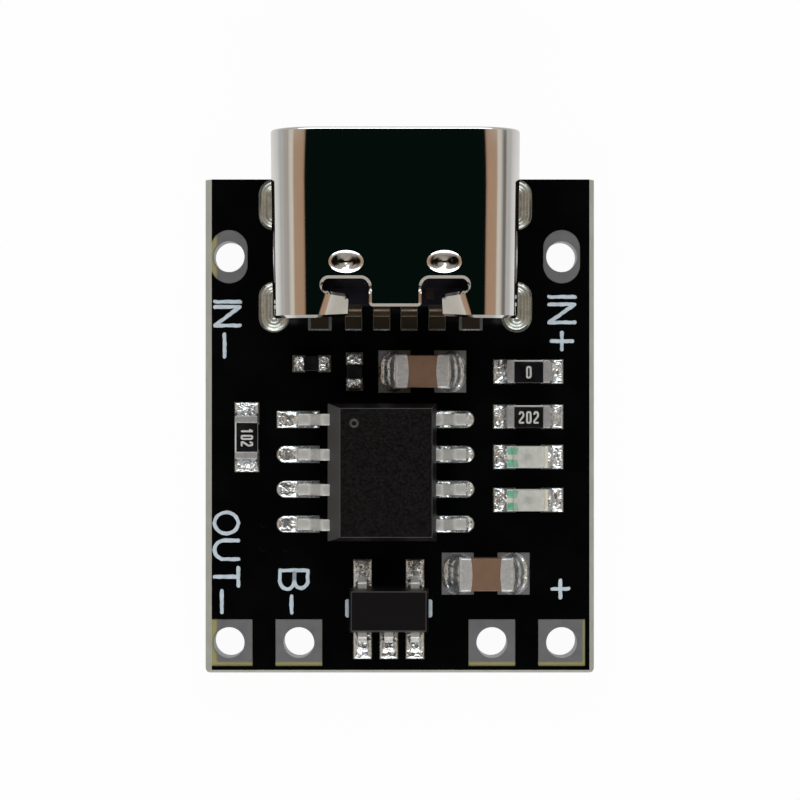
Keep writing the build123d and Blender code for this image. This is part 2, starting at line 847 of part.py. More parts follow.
def indicator_lamp(name, spot):
    """A lamp: laminate base, scalloped plated ends, the die and the clear lens moulded over it."""
    with BuildPart() as ends:
        with BuildSketch(spot.side()):
            with Locations((0, lamp_base_h / 2)):
                Rectangle(lamp_l, lamp_base_h)
                Rectangle(lamp_l - 2 * plating_t, lamp_base_h - 2 * plating_t, mode=Mode.SUBTRACT)
                Rectangle(lamp_l - 2 * lamp_end, lamp_base_h, mode=Mode.SUBTRACT)
        extrude(amount=lamp_w / 2, both=True)
        with BuildSketch(spot.plane()):
            with Locations((-lamp_l / 2, 0), (lamp_l / 2, 0)):
                Circle(lamp_scallop_r)
        extrude(amount=lamp_base_h, mode=Mode.SUBTRACT)
    with BuildPart() as base:
        with BuildSketch(spot.plane(plating_t)):
            Rectangle(lamp_l - 2 * plating_t, lamp_w)
            with Locations((-lamp_l / 2, 0), (lamp_l / 2, 0)):
                Circle(lamp_scallop_r, mode=Mode.SUBTRACT)
        extrude(amount=lamp_base_h - 2 * plating_t)
    with BuildPart() as die:
        with BuildSketch(spot.plane(lamp_base_h - plating_t)):
            Rectangle(die_side, die_side)
        extrude(amount=die_h)
    with BuildPart() as lens:
        with BuildSketch(spot.plane(lamp_base_h)):
            Rectangle(lamp_lens_l, lamp_w)
        extrude(amount=lamp_h - lamp_base_h, taper=lamp_lens_draft)
        with BuildSketch(spot.plane(lamp_base_h - plating_t)):
            Rectangle(lamp_l - 2 * lamp_end, lamp_w)
        extrude(amount=plating_t)
        add(die.part, mode=Mode.SUBTRACT)
    save(ends, f"{name}_ends")
    save(base, f"{name}_base")
    save(die, f"{name}_die")
    save(lens, f"{name}_lens")


indicator_lamp("charging_lamp", lamp_one_spot)
indicator_lamp("charged_lamp", lamp_two_spot)


def chip_capacitor(name, spot):
    """A chip capacitor: a rounded ceramic block and a plated cap over each end."""
    with BuildPart() as block:
        with BuildSketch(spot.plane(plating_t)):
            Rectangle(cap_l - 2 * plating_t, cap_w - 2 * plating_t)
        extrude(amount=cap_h - 2 * plating_t)
        chamfer(block.edges(), cap_edge - plating_t)
    with BuildPart() as caps:
        with BuildSketch(spot.plane()):
            Rectangle(cap_l, cap_w)
        extrude(amount=cap_h)
        chamfer(caps.edges(), cap_edge)
        with BuildSketch(spot.plane()):
            with BuildLine():
                inner = cap_l / 2 - cap_end
                for side in (-1, 1):
                    ThreePointArc(
                        (side * inner, -cap_w / 2),
                        (side * (inner - cap_end_bow), 0),
                        (side * inner, cap_w / 2),
                    )
                    Line((-inner, side * cap_w / 2), (inner, side * cap_w / 2))
            make_face()
        extrude(amount=cap_h, mode=Mode.SUBTRACT)
        add(block.part, mode=Mode.SUBTRACT)
    save(block, f"{name}_block")
    save(caps, f"{name}_ends")


chip_capacitor("input_capacitor", input_cap_spot)
chip_capacitor("output_capacitor", output_cap_spot)


def solder_wedges(planes, reach, climb, width):
    """Hollow solder fillets: each starts at its plane, runs out along the land and climbs the end."""
    with BuildPart() as wedges:
        for plane in planes:
            with BuildSketch(plane):
                Polygon(
                    (0, 0), (reach, 0), (reach * solder_hollow, climb * solder_hollow), (0, climb)
                )
        extrude(amount=width / 2, both=True)
    return wedges


def end_solder(spots, length, span, climb, width):
    """Solder at both ends of every part in a set of like parts."""
    planes = [spot.side(length / 2, flip) for spot in spots for flip in (False, True)]
    return solder_wedges(planes, (span - length) / 2, climb, width)


save(
    end_solder(
        resistor_spots, resistor_l, resistor_land_span, resistor_h * solder_climb, resistor_w
    ),
    "solder_resistors",
)
save(
    end_solder(
        lamp_spots, lamp_l, resistor_land_span, lamp_base_h * solder_climb, lamp_w
    ),
    "solder_lamps",
)
save(
    end_solder(small_spots, small_l, small_land_span, small_h * solder_climb, small_w),
    "solder_small_resistors",
)
save(
    end_solder(
        capacitor_spots, cap_l, cap_land_span, cap_h * solder_climb, cap_w - 2 * cap_edge
    ),
    "solder_capacitors",
)

with BuildPart() as chip_solder:
    for facing, reach in ((0, chip_toe_right), (180, chip_toe_left)):
        toe = chip_x + math.cos(math.radians(facing)) * chip_lead_span / 2
        planes = [upright(toe, y, board_t, facing) for y in chip_lead_ys]
        add(solder_wedges(planes, reach, chip_lead_t, chip_lead_w).part)
save(chip_solder, "solder_charger_chip")

guard_toes = [
    upright(x, guard_y + math.sin(math.radians(f)) * guard_lead_span / 2, board_t, f)
    for f, places in guard_rows.items()
    for x in places
]
save(
    solder_wedges(
        guard_toes, (guard_land_span - guard_lead_span) / 2, guard_lead_t, guard_lead_w
    ),
    "solder_protection_chip",
)

with BuildPart() as tail_solder:
    for _, tail_x, tail_w, _ in contacts.values():
        toe_plane = upright(layout_shift + tail_x, foot_end_y, board_t, 270)
        add(solder_wedges([toe_plane], foot_gap, contact_t, tail_w).part)
save(tail_solder, "solder_socket_contacts")

# Solder that fills the slots round the shell's legs and stands up round them
with BuildPart() as leg_solder:
    with BuildSketch(Plane.XY):
        with Locations(*leg_places):
            SlotOverall(leg_slot_l, leg_slot_w, rotation=90)
    extrude(amount=board_t)
    with BuildSketch(Plane.XY.offset(board_t)):
        with Locations(*leg_places):
            SlotOverall(
                leg_land_l - 2 * leg_solder_edge, leg_land_w - 2 * leg_solder_edge, rotation=90
            )
        Rectangle(board_w, board_l, mode=Mode.INTERSECT)
    extrude(amount=leg_solder_h, taper=leg_solder_slope)
    add(shell.part, mode=Mode.SUBTRACT)
save(leg_solder, "solder_socket_legs")
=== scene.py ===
"""Studio scene of a small lithium battery charger module.

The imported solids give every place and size. This script adds what they leave plain: a folded
mirror-bright socket shell with rolled rims, rounded leads and moulded bodies, wrinkled solder,
printed labels, and a finish for each material. Lengths in the classes are millimetres, and each
mesh is brought to metres as it is finished.
"""

import logging
import math
from collections.abc import Iterable, Sequence
from dataclasses import dataclass, field
from enum import Enum

import bmesh
import bpy
from bmesh.types import BMEdge, BMesh, BMFace, BMVert
from mathutils import Matrix, Vector, noise


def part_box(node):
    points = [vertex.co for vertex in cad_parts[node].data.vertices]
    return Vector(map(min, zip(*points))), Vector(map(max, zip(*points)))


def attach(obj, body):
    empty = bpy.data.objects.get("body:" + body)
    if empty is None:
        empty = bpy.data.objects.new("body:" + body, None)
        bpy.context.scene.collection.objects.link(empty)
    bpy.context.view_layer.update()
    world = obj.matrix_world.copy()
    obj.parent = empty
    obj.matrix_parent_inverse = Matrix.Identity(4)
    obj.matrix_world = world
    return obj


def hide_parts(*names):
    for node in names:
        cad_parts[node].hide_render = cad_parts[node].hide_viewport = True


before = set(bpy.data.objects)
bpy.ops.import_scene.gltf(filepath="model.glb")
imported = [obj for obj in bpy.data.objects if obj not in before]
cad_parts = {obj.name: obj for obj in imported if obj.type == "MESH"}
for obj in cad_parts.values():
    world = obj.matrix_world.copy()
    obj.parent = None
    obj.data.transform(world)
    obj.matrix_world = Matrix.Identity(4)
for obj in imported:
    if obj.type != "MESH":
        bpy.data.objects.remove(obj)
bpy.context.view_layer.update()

log = logging.getLogger("charger_module")

MM = 0.001
BODY = "root"
NOISE_SEED = 11
Colour = tuple[float, float, float]


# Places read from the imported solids


@dataclass(frozen=True)
class Span:
    """A box in millimetres, from its lowest to its highest corner."""

    low: Vector
    high: Vector

    @property
    def centre(self) -> Vector:
        """Middle of the box."""
        return (self.low + self.high) / 2

    @property
    def size(self) -> Vector:
        """Edge lengths of the box."""
        return self.high - self.low

    def holds(self, x: float, y: float) -> bool:
        """Whether a point lies over the box, seen from above."""
        return self.low.x <= x <= self.high.x and self.low.y <= y <= self.high.y


def node_span(node: str) -> Span:
    """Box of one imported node."""
    low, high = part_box(node)
    return Span(low / MM, high / MM)


def solid_spans(node: str) -> list[Span]:
    """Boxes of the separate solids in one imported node, ordered along X and then Y.

    Args:
        node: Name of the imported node.

    Returns:
        One box for each solid.
    """
    bm = bmesh.new()
    bm.from_mesh(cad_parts[node].data)
    bmesh.ops.scale(bm, vec=Vector((1, 1, 1)) / MM, verts=bm.verts)
    bmesh.ops.remove_doubles(bm, verts=bm.verts, dist=0.0005)
    waiting = set(bm.verts)
    spans = []
    while waiting:
        front = [waiting.pop()]
        points = []
        while front:
            vert = front.pop()
            points.append(vert.co.copy())
            for edge in vert.link_edges:
                other = edge.other_vert(vert)
                if other in waiting:
                    waiting.remove(other)
                    front.append(other)
        low = Vector(min(p[i] for p in points) for i in range(3))
        high = Vector(max(p[i] for p in points) for i in range(3))
        spans.append(Span(low, high))
    bm.free()
    return sorted(spans, key=lambda s: (round(s.centre.x, 2), round(s.centre.y, 2)))


BOARD_TOP = node_span("solder_mask_top").high.z
LANDS = solid_spans("surface_lands")


def land_under(x: float, y: float) -> Span:
    """The copper land that lies under a point.

    Args:
        x: Place along X.
        y: Place along Y.

    Returns:
        Box of that land.
    """
    return next(land for land in LANDS if land.holds(x, y))


# Mesh tools


def edges_of(verts: Iterable[BMVert]) -> list[BMEdge]:
    """Edges that join some vertices, in an order that is the same each run."""
    chosen = dict.fromkeys(verts)
    found = dict.fromkeys(edge for vert in chosen for edge in vert.link_edges)
    return [edge for edge in found if edge.verts[0] in chosen and edge.verts[1] in chosen]


def edges_round(faces: Sequence[BMFace]) -> list[BMEdge]:
    """Edges of some faces, each once, in an order that is the same each run."""
    return list(dict.fromkeys(edge for face in faces for edge in face.edges))


def parts_of(faces: Sequence[BMFace]) -> list[BMVert | BMEdge | BMFace]:
    """Some faces with their vertices and edges, in an order that is the same each run."""
    verts = dict.fromkeys(vert for face in faces for vert in face.verts)
    return [*verts, *edges_round(faces), *faces]


def add_box(bm: BMesh, low: Vector, high: Vector) -> list[BMVert]:
    """Add a box and return its vertices.

    Args:
        bm: Mesh to add to.
        low: Lowest corner.
        high: Highest corner.

    Returns:
        The eight new vertices.
    """
    verts = bmesh.ops.create_cube(bm, size=1.0)["verts"]
    bmesh.ops.scale(bm, vec=high - low, verts=verts)
    bmesh.ops.translate(bm, vec=(low + high) / 2, verts=verts)
    return verts


def roll_edges(
    bm: BMesh, edges: Sequence[BMEdge], radius: float, segments: int = 3, held: bool = True
) -> None:
    """Round edges off.

    Args:
        bm: Mesh to work on.
        edges: Edges to round.
        radius: Radius of the rounding.
        segments: Faces across it.
        held: Whether the radius is held back where edges are short.
    """
    bmesh.ops.bevel(
        bm,
        geom=list(edges),
        offset=radius,
        offset_type="OFFSET",
        segments=segments,
        profile=0.5,
        affect="EDGES",
        clamp_overlap=held,
        material=-1,
    )


def add_rounded_box(bm: BMesh, low: Vector, high: Vector, radius: float, segments: int = 3) -> None:
    """Add a box with all its edges rounded.

    Args:
        bm: Mesh to add to.
        low: Lowest corner.
        high: Highest corner.
        radius: Radius of the edges.
        segments: Faces across each rounding.
    """
    block = bmesh.new()
    add_box(block, low, high)
    roll_edges(block, block.edges, radius, segments)
    absorb(bm, block)


def absorb(target: BMesh, source: BMesh) -> None:
    """Move all of one mesh into another and free it."""
    carrier = bpy.data.meshes.new("carrier")
    source.to_mesh(carrier)
    target.from_mesh(carrier)
    bpy.data.meshes.remove(carrier)
    source.free()


def cut_across(
    bm: BMesh, point: Vector, normal: Vector, faces: Sequence[BMFace] | None = None
) -> None:
    """Score a mesh along a plane without taking anything away.

    Args:
        bm: Mesh to score.
        point: A point of the plane.
        normal: The plane's normal.
        faces: Faces to score, or none for the whole mesh.
    """
    whole = [*bm.verts, *bm.edges, *bm.faces]
    scored = whole if faces is None else parts_of(faces)
    bmesh.ops.bisect_plane(bm, geom=scored, dist=0.0002, plane_co=point, plane_no=normal)


def slice_off(bm: BMesh, point: Vector, normal: Vector, fill: bool = True) -> None:
    """Cut away what lies on a plane's normal side.

    Args:
        bm: Mesh to cut.
        point: A point of the plane.
        normal: Side that goes.
        fill: Whether the cut is closed.
    """
    made = bmesh.ops.bisect_plane(
        bm,
        geom=list(bm.verts) + list(bm.edges) + list(bm.faces),
        dist=0.0002,
        plane_co=point,
        plane_no=normal,
        clear_outer=True,
    )
    if fill:
        cut = [item for item in made["geom_cut"] if isinstance(item, BMEdge)]
        bmesh.ops.contextual_create(bm, geom=cut)


def draw_out(bm: BMesh, edges: Sequence[BMEdge]) -> list[BMVert]:
    """Extrude edges in place and return the new vertices, ready to be moved."""
    made = bmesh.ops.extrude_edge_only(bm, edges=edges)["geom"]
    return [item for item in made if isinstance(item, BMVert)]


def open_edges(bm: BMesh) -> list[BMEdge]:
    """Edges that have a face on one side only."""
    return [edge for edge in bm.edges if len(edge.link_faces) == 1]


def turned_at(place: Vector, degrees: float) -> Matrix:
    """The move that lays something down at a place, turned about Z."""
    return Matrix.Translation(place) @ Matrix.Rotation(math.radians(degrees), 4, "Z")


def rim_oval(
    bm: BMesh, border: Sequence[BMEdge], centre: Vector, half: tuple[float, float]
) -> list[BMEdge]:
    """Join the border of an opening to an oval inside it.

    Args:
        bm: Mesh to add to.
        border: Edges round the opening.
        centre: Centre of the oval.
        half: Its half-length and half-width.

    Returns:
        The oval's edges.
    """
    verts = draw_out(bm, border)
    for vert in verts:
        angle = math.atan2((vert.co.y - centre.y) / half[1], (vert.co.x - centre.x) / half[0])
        vert.co.x = centre.x + half[0] * math.cos(angle)
        vert.co.y = centre.y + half[1] * math.sin(angle)
    return edges_of(verts)


def wall_up(bm: BMesh, sheet: float) -> None:
    """Give an open sheet its thickness, inwards from the side its faces show.

    Args:
        bm: The sheet.
        sheet: Thickness of the metal.
    """
    bmesh.ops.solidify(bm, geom=list(bm.faces), thickness=sheet)


def finish_piece(
    name: str,
    bm: BMesh,
    finish: "Finish",
    stands_for: Sequence[str] = (),
    smooth_below: float = 40.0,
    even_flats: bool = True,
) -> bpy.types.Object:
    """Turn a mesh into a finished piece of the model.

    Args:
        name: Name of the piece.
        bm: Its mesh in millimetres, which is freed.
        finish: Its finish.
        stands_for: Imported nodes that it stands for.
        smooth_below: Edges flatter than this many degrees are shaded smooth.
        even_flats: Whether large flat faces keep their shading beside small roundings.

    Returns:
        The new object.
    """
    bmesh.ops.recalc_face_normals(bm, faces=bm.faces)
    bmesh.ops.scale(bm, vec=(MM, MM, MM), verts=bm.verts)
    mesh = bpy.data.meshes.new(name)
    bm.to_mesh(mesh)
    bm.free()
    mesh.shade_smooth()
    mesh.set_sharp_from_angle(angle=math.radians(smooth_below))
    piece = bpy.data.objects.new(name, mesh)
    bpy.context.scene.collection.objects.link(piece)
    mesh.materials.append(finish.material())
    if even_flats:
        weighted = piece.modifiers.new("even_flats", "WEIGHTED_NORMAL")
        weighted.mode = "FACE_AREA"
        weighted.weight = 90
        weighted.keep_sharp = True
    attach(piece, BODY)
    if stands_for:
        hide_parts(*stands_for)
    log.info("%s: %d faces", name, len(mesh.polygons))
    return piece


def dress_node(node: str, finish: "Finish") -> None:
    """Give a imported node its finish."""
    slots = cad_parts[node].data.materials
    slots.clear()
    slots.append(finish.material())


# Finishes


class Mottle(Enum):
    """Kinds of pattern: the group's name, its stretch along Y and the detail of its noise."""

    GRAIN = ("fine_grain", 1.0, 4.0)
    CLOUD = ("soft_clouds", 1.0, 2.0)
    STREAK = ("rolled_streaks", 0.04, 3.0)


def add_node(
    tree: bpy.types.NodeTree, kind: str, feeds: dict[str | int, object], **settings: object
) -> bpy.types.Node:
    """Add a shader node.

    Args:
        tree: Tree to add to.
        kind: Last part of the node's type.
        feeds: For each input, the output that feeds it or its constant.
        settings: The node's own settings.

    Returns:
        The node.
    """
    node = tree.nodes.new(f"ShaderNode{kind}")
    for name, value in settings.items():
        setattr(node, name, value)
    for name, value in feeds.items():
        if isinstance(value, bpy.types.NodeSocket):
            tree.links.new(value, node.inputs[name])
        else:
            node.inputs[name].default_value = value
    return node


def add_math(
    tree: bpy.types.NodeTree,
    operation: str,
    first: bpy.types.NodeSocket,
    second: bpy.types.NodeSocket | float = 0.0,
    clamped: bool = False,
) -> bpy.types.NodeSocket:
    """Calculate with one or two numbers and return the result's output."""
    feeds = {0: first, 1: second}
    return add_node(tree, "Math", feeds, operation=operation, use_clamp=clamped).outputs[0]


def add_blend(
    tree: bpy.types.NodeTree,
    factor: bpy.types.NodeSocket,
    first: bpy.types.NodeSocket | Colour,
    second: bpy.types.NodeSocket | Colour,
    way: str = "MIX",
) -> bpy.types.NodeSocket:
    """Blend two colours.

    Args:
        tree: Tree to add to.
        factor: Share of the second.
        first: The first colour.
        second: The second colour.
        way: How they blend.

    Returns:
        The blended colour's output.
    """
    feeds = {"Factor": factor}
    for name, colour in (("A", first), ("B", second)):
        feeds[name] = (*colour, 1.0) if isinstance(colour, tuple) else colour
    return add_node(tree, "Mix", feeds, data_type="RGBA", blend_type=way).outputs["Result"]


def add_ramp(
    tree: bpy.types.NodeTree,
    stops: Sequence[tuple[float, Colour]],
    share: bpy.types.NodeSocket,
) -> bpy.types.NodeSocket:
    """Add a colour ramp.

    Args:
        tree: Tree to add to.
        stops: Places from 0 to 1 and their colours.
        share: Output that carries the place.

    Returns:
        The colour's output.
    """
    ramp = add_node(tree, "ValToRGB", {"Fac": share})
    points = ramp.color_ramp.elements
    points.remove(points[-1])
    points[0].position = stops[0][0]
    points[0].color = (*stops[0][1], 1)
    for place, colour in stops[1:]:
        points.new(place).color = (*colour, 1)
    return ramp.outputs["Color"]


def place_in_mm(tree: bpy.types.NodeTree, stretch_y: float = 1.0) -> bpy.types.NodeSocket:
    """The place on a piece in millimetres, stretched along Y."""
    place = add_node(tree, "TexCoord", {}).outputs["Object"]
    scale = (1 / MM, stretch_y / MM, 1 / MM)
    return add_node(tree, "Mapping", {"Vector": place, "Scale": scale}).outputs["Vector"]


def add_upness(tree: bpy.types.NodeTree) -> bpy.types.NodeSocket:
    """How far the surface faces up, from -1 to 1."""
    normal = add_node(tree, "NewGeometry", {}).outputs["Normal"]
    return add_node(tree, "SeparateXYZ", {"Vector": normal}).outputs["Z"]


def pattern_group(kind: Mottle) -> bpy.types.NodeTree:
    """The shared node group that draws one kind of pattern.

    Args:
        kind: Which pattern.

    Returns:
        A group with the inputs Density and Contrast and the outputs Mask and Height.
    """
    name, stretch, detail = kind.value
    found = bpy.data.node_groups.get(name)
    if found:
        return found
    group = bpy.data.node_groups.new(name, "ShaderNodeTree")
    faces = group.interface
    for label, start in (("Density", 10.0), ("Contrast", 1.0)):
        face = faces.new_socket(label, in_out="INPUT", socket_type="NodeSocketFloat")
        face.default_value = start
    for label in ("Mask", "Height"):
        faces.new_socket(label, in_out="OUTPUT", socket_type="NodeSocketFloat")
    inlet = group.nodes.new("NodeGroupInput").outputs
    outlet = group.nodes.new("NodeGroupOutput").inputs
    feeds = {"Vector": place_in_mm(group, stretch), "Scale": inlet["Density"]}
    texture = add_node(group, "TexNoise", feeds | {"Detail": detail, "Roughness": 0.6})
    centred = add_math(group, "SUBTRACT", texture.outputs["Fac"], 0.5)
    gained = add_math(group, "MULTIPLY", centred, inlet["Contrast"])
    group.links.new(add_math(group, "ADD", gained, 0.5, clamped=True), outlet["Mask"])
    group.links.new(texture.outputs["Fac"], outlet["Height"])
    return group


@dataclass(frozen=True)
class Finish:
    """One material: two tones that mottle into each other, a range of roughness and a fine relief.

    Attributes:
        name: Name of the material.
        slot: Material slot of the record that it belongs to; not used.
        tone: Main colour.
        shade: Colour of the mottling.
        roughness: Lowest and highest roughness.
        metallic: How metallic it is.
        mottle: Pattern that mixes the two tones and the roughness.
        density: Patches of that pattern in a millimetre.
        contrast: How hard the pattern is.
        grain: Grains of the relief in a millimetre.
        relief: Height of the relief in millimetres.
        ior: Index of refraction.
        cover: How much a finish hides what is under it.
        specular: Strength of the gloss of a finish that isn't metal.
    """

    name: str
    slot: str
    tone: Colour
    shade: Colour
    roughness: tuple[float, float]
    metallic: float = 0.0
    mottle: Mottle = Mottle.CLOUD
    density: float = 1.5
    contrast: float = 2.5
    grain: float = 14.0
    relief: float = 0.0
    ior: float = 1.5
    cover: float = 1.0
    specular: float = 0.5

    def material(self) -> bpy.types.Material:
        """The Blender material, made on first use."""
        found = bpy.data.materials.get(self.name)
        if found:
            return found
        material = bpy.data.materials.new(self.name)
        material.use_nodes = True
        tree = material.node_tree
        surface = tree.nodes["Principled BSDF"].inputs
        surface["Metallic"].default_value = self.metallic
        surface["IOR"].default_value = self.ior
        surface["Specular IOR Level"].default_value = self.specular
        surface["Alpha"].default_value = self.cover
        mask = self.add_pattern(tree, self.mottle, self.density, self.contrast)["Mask"]
        colour = add_blend(tree, mask, self.tone, self.shade)
        tree.links.new(self.detailed(tree, colour), surface["Base Color"])
        low, high = self.roughness
        gloss = add_node(tree, "MapRange", {"Value": mask, "To Min": low, "To Max": high})
        tree.links.new(gloss.outputs["Result"], surface["Roughness"])
        if self.relief > 0:
            height = self.add_pattern(tree, Mottle.GRAIN, self.grain, 1.0)["Height"]
            feeds = {"Height": height, "Strength": 1.0, "Distance": self.relief * MM}
            tree.links.new(add_node(tree, "Bump", feeds).outputs["Normal"], surface["Normal"])
        return material

    def add_pattern(
        self, tree: bpy.types.NodeTree, kind: Mottle, density: float, contrast: float
    ) -> bpy.types.NodeOutputs:
        """Place a shared pattern in the material.

        Args:
            tree: Tree to add to.
            kind: Which pattern.
            density: Patches in a millimetre.
            contrast: How hard it is.

        Returns:
            The pattern's outputs.
        """
        node = tree.nodes.new("ShaderNodeGroup")
        node.node_tree = pattern_group(kind)
        node.inputs["Density"].default_value = density
        node.inputs["Contrast"].default_value = contrast
        return node.outputs

    def detailed(
        self, tree: bpy.types.NodeTree, colour: bpy.types.NodeSocket
    ) -> bpy.types.NodeSocket:
        """Colour with what only this finish has; the plain finish has nothing more."""
        return colour


@dataclass(frozen=True)
class WovenLaminate(Finish):
    """Glass-epoxy laminate: pale where it was broken or cut, olive where its face lies bare.

    Attributes:
        bare: Colour of its bare face.
        thread_shade: Shade between the threads of the glass cloth.
        threads: Threads in a millimetre.
        face_from: How far up a surface faces where it starts and ends to count as the face.
    """

    bare: Colour = (0.30, 0.28, 0.125)
    thread_shade: Colour = (0.82, 0.8, 0.74)
    threads: float = 3.0
    face_from: tuple[float, float] = (0.93, 0.99)

    def detailed(
        self, tree: bpy.types.NodeTree, colour: bpy.types.NodeSocket
    ) -> bpy.types.NodeSocket:
        """Lay the bare face's colour and the threads of the glass cloth over the pale one."""
        start, end = self.face_from
        feeds = {"Value": add_upness(tree), "From Min": start, "From Max": end}
        level = add_node(tree, "MapRange", feeds).outputs["Result"]
        face = add_blend(tree, level, colour, self.bare)
        feeds = {"Vector": place_in_mm(tree), "Scale": self.threads}
        feeds |= {"Distortion": 1.5, "Detail": 2.0}
        wave = add_node(tree, "TexWave", feeds, bands_direction="Z").outputs["Fac"]
        return add_blend(tree, wave, face, self.thread_shade, "MULTIPLY")


@dataclass(frozen=True)
class MouldingWithPaintedEdgeHighlight(Finish):
    """Black moulding with a painted highlight where its surface turns from the top to the sides.

    Attributes:
        edge: Colour of that painted highlight.
        painted_highlight_by_upness: How far up a surface faces, and how much painted highlight it
            has there.
    """

    # Colour of the painted edge highlight, standing in for the gloss of the rounded edges.
    edge: Colour = (0.1, 0.098, 0.096)
    painted_highlight_by_upness: tuple[tuple[float, float], ...] = (
        (0.3, 0.0), (0.45, 0.5), (0.62, 0.5), (0.74, 1.0), (0.9, 1.0), (0.985, 0.0)
    )

    def detailed(
        self, tree: bpy.types.NodeTree, colour: bpy.types.NodeSocket
    ) -> bpy.types.NodeSocket:
        """Paint a highlight over the slanting faces, by how far they face up."""
        # Painted highlight: paler colour by how far the surface faces up, strongest on the rounded
        # edges.
        stops = [(place, (share, share, share)) for place, share in self.painted_highlight_by_upness]
        return add_blend(tree, add_ramp(tree, stops, add_upness(tree)), colour, self.edge)


LAMINATE = WovenLaminate(
    "raw_laminate", "laminate", (0.48, 0.485, 0.44), (0.43, 0.43, 0.385), (0.62, 0.8), relief=0.006
)
BLACK_INK = Finish(
    "gloss_black_ink", "ink", (0.0012, 0.0012, 0.0014), (0.0022, 0.0022, 0.0026), (0.12, 0.2),
    density=0.6, grain=3.0, relief=0.0006, ior=1.4, specular=0.3,
)
TINNED = Finish(
    "levelled_tin", "tinned_copper", (0.335, 0.335, 0.35), (0.28, 0.28, 0.295), (0.36, 0.5),
    metallic=0.78, density=3.0, contrast=1.6, grain=9.0, relief=0.003,
)
NICKEL = Finish(
    "bright_nickel", "shell_steel", (0.80, 0.79, 0.76), (0.76, 0.74, 0.71), (0.05, 0.085),
    metallic=1.0, density=1.6, contrast=1.6, grain=1.3, relief=0.0012,
)
SOCKET_BLACK = Finish(
    "moulded_socket_black", "socket_plastic", (0.005, 0.004, 0.008), (0.011, 0.009, 0.016),
    (0.35, 0.5), grain=18.0, relief=0.002, specular=0.3,
)
CONTACT = Finish(
    "plated_contact", "contact_metal", (0.115, 0.084, 0.058), (0.08, 0.058, 0.04), (0.3, 0.44),
    metallic=0.9, density=2.5, grain=4.0, relief=0.002,
)
PLATE_STEEL = Finish(
    "satin_plate_steel", "plate_steel", (0.55, 0.55, 0.54), (0.46, 0.46, 0.46), (0.3, 0.42),
    metallic=1.0, mottle=Mottle.STREAK, density=6.0, grain=10.0, relief=0.001,
)
# Chip body moulding, with a painted highlight along its rounded edges.
MOULDED = MouldingWithPaintedEdgeHighlight(
    "moulded_chip_body", "chip_plastic", (0.0012, 0.0009, 0.0009), (0.0075, 0.0061, 0.0061),
    (0.34, 0.46), mottle=Mottle.GRAIN, density=11.0, contrast=3.0, grain=24.0, relief=0.0015,
    specular=0.24,
)
# Guard chip moulding, with a dimmer painted highlight along its rounded edges.
MOULDED_DARK = MouldingWithPaintedEdgeHighlight(
    "moulded_guard_body", "chip_plastic", (0.0012, 0.0007, 0.0008), (0.0032, 0.0022, 0.0024),
    (0.34, 0.46), mottle=Mottle.GRAIN, density=20.0, contrast=2.5, grain=24.0, relief=0.0015,
    specular=0.32, edge=(0.055, 0.053, 0.052),
)
SATIN_TIN = Finish(
    "satin_tin", "lead_metal", (0.70, 0.70, 0.67), (0.58, 0.58, 0.555), (0.38, 0.52),
    metallic=0.55, mottle=Mottle.GRAIN, density=7.0, grain=12.0, relief=0.003,
)
SINTERED_WHITE = Finish(
    "sintered_white", "ceramic_white", (0.66, 0.66, 0.64), (0.56, 0.56, 0.54), (0.5, 0.62),
    grain=14.0, relief=0.003,
)
BLACK_GLAZE = Finish(
    "black_glaze", "glaze_black", (0.006, 0.0055, 0.0065), (0.01, 0.009, 0.0105), (0.16, 0.3),
    grain=5.0, relief=0.003,
)
END_TIN = Finish(
    "end_cap_tin", "end_metal", (0.70, 0.69, 0.67), (0.50, 0.49, 0.475), (0.34, 0.5),
    metallic=0.55, mottle=Mottle.GRAIN, density=8.0, contrast=4.0, grain=9.0, relief=0.006,
)
CLIP_TIN = Finish(
    "end_clip_tin", "end_metal", (0.52, 0.505, 0.50), (0.37, 0.36, 0.355), (0.36, 0.5),
    metallic=0.55, mottle=Mottle.GRAIN, density=7.0, contrast=3.0, grain=9.0, relief=0.005,
)
LAMP_BOARD = Finish(
    "lamp_laminate", "lamp_laminate", (0.72, 0.70, 0.63), (0.60, 0.585, 0.53), (0.5, 0.65),
    grain=12.0, relief=0.002,
)
LAMP_CLEAR = Finish(
    "milky_lamp_resin", "lamp_resin", (0.78, 0.775, 0.73), (0.66, 0.655, 0.62), (0.16, 0.3),
    density=4.5, contrast=4.0, grain=6.0, relief=0.004, ior=1.46, cover=0.58,
)
LAMP_DIE = Finish(
    "lamp_die", "lamp_die", (0.26, 0.25, 0.24), (0.05, 0.045, 0.045), (0.2, 0.3),
    density=5.0, contrast=6.0, grain=20.0, relief=0.001,
)
LAMP_GREEN = Finish(
    "green_polarity_mark", "lamp_laminate", (0.08, 0.42, 0.25), (0.32, 0.56, 0.44), (0.4, 0.55),
    density=4.0, grain=10.0, relief=0.002,
)
LAMP_GREEN_FILM = Finish(
    "green_polarity_film", "lamp_resin", (0.12, 0.46, 0.29), (0.42, 0.58, 0.49), (0.3, 0.45),
    density=4.0, grain=10.0, relief=0.002, cover=0.6,
)
BROWN_CERAMIC = Finish(
    "brown_capacitor_ceramic", "capacitor_ceramic", (0.20, 0.118, 0.070),
    (0.165, 0.094, 0.054), (0.42, 0.55), density=2.5, grain=12.0, relief=0.003,
)
SOLDER = Finish(
    "bright_solder", "solder", (0.80, 0.82, 0.825), (0.66, 0.68, 0.68), (0.18, 0.34),
    metallic=0.9, density=6.0, contrast=3.0, grain=11.0, relief=0.006,
)
DULL_SOLDER = Finish(
    "dull_solder", "solder", (0.49, 0.50, 0.45), (0.36, 0.37, 0.33), (0.2, 0.34),
    metallic=0.92, density=5.0, contrast=3.0, grain=9.0, relief=0.006,
)
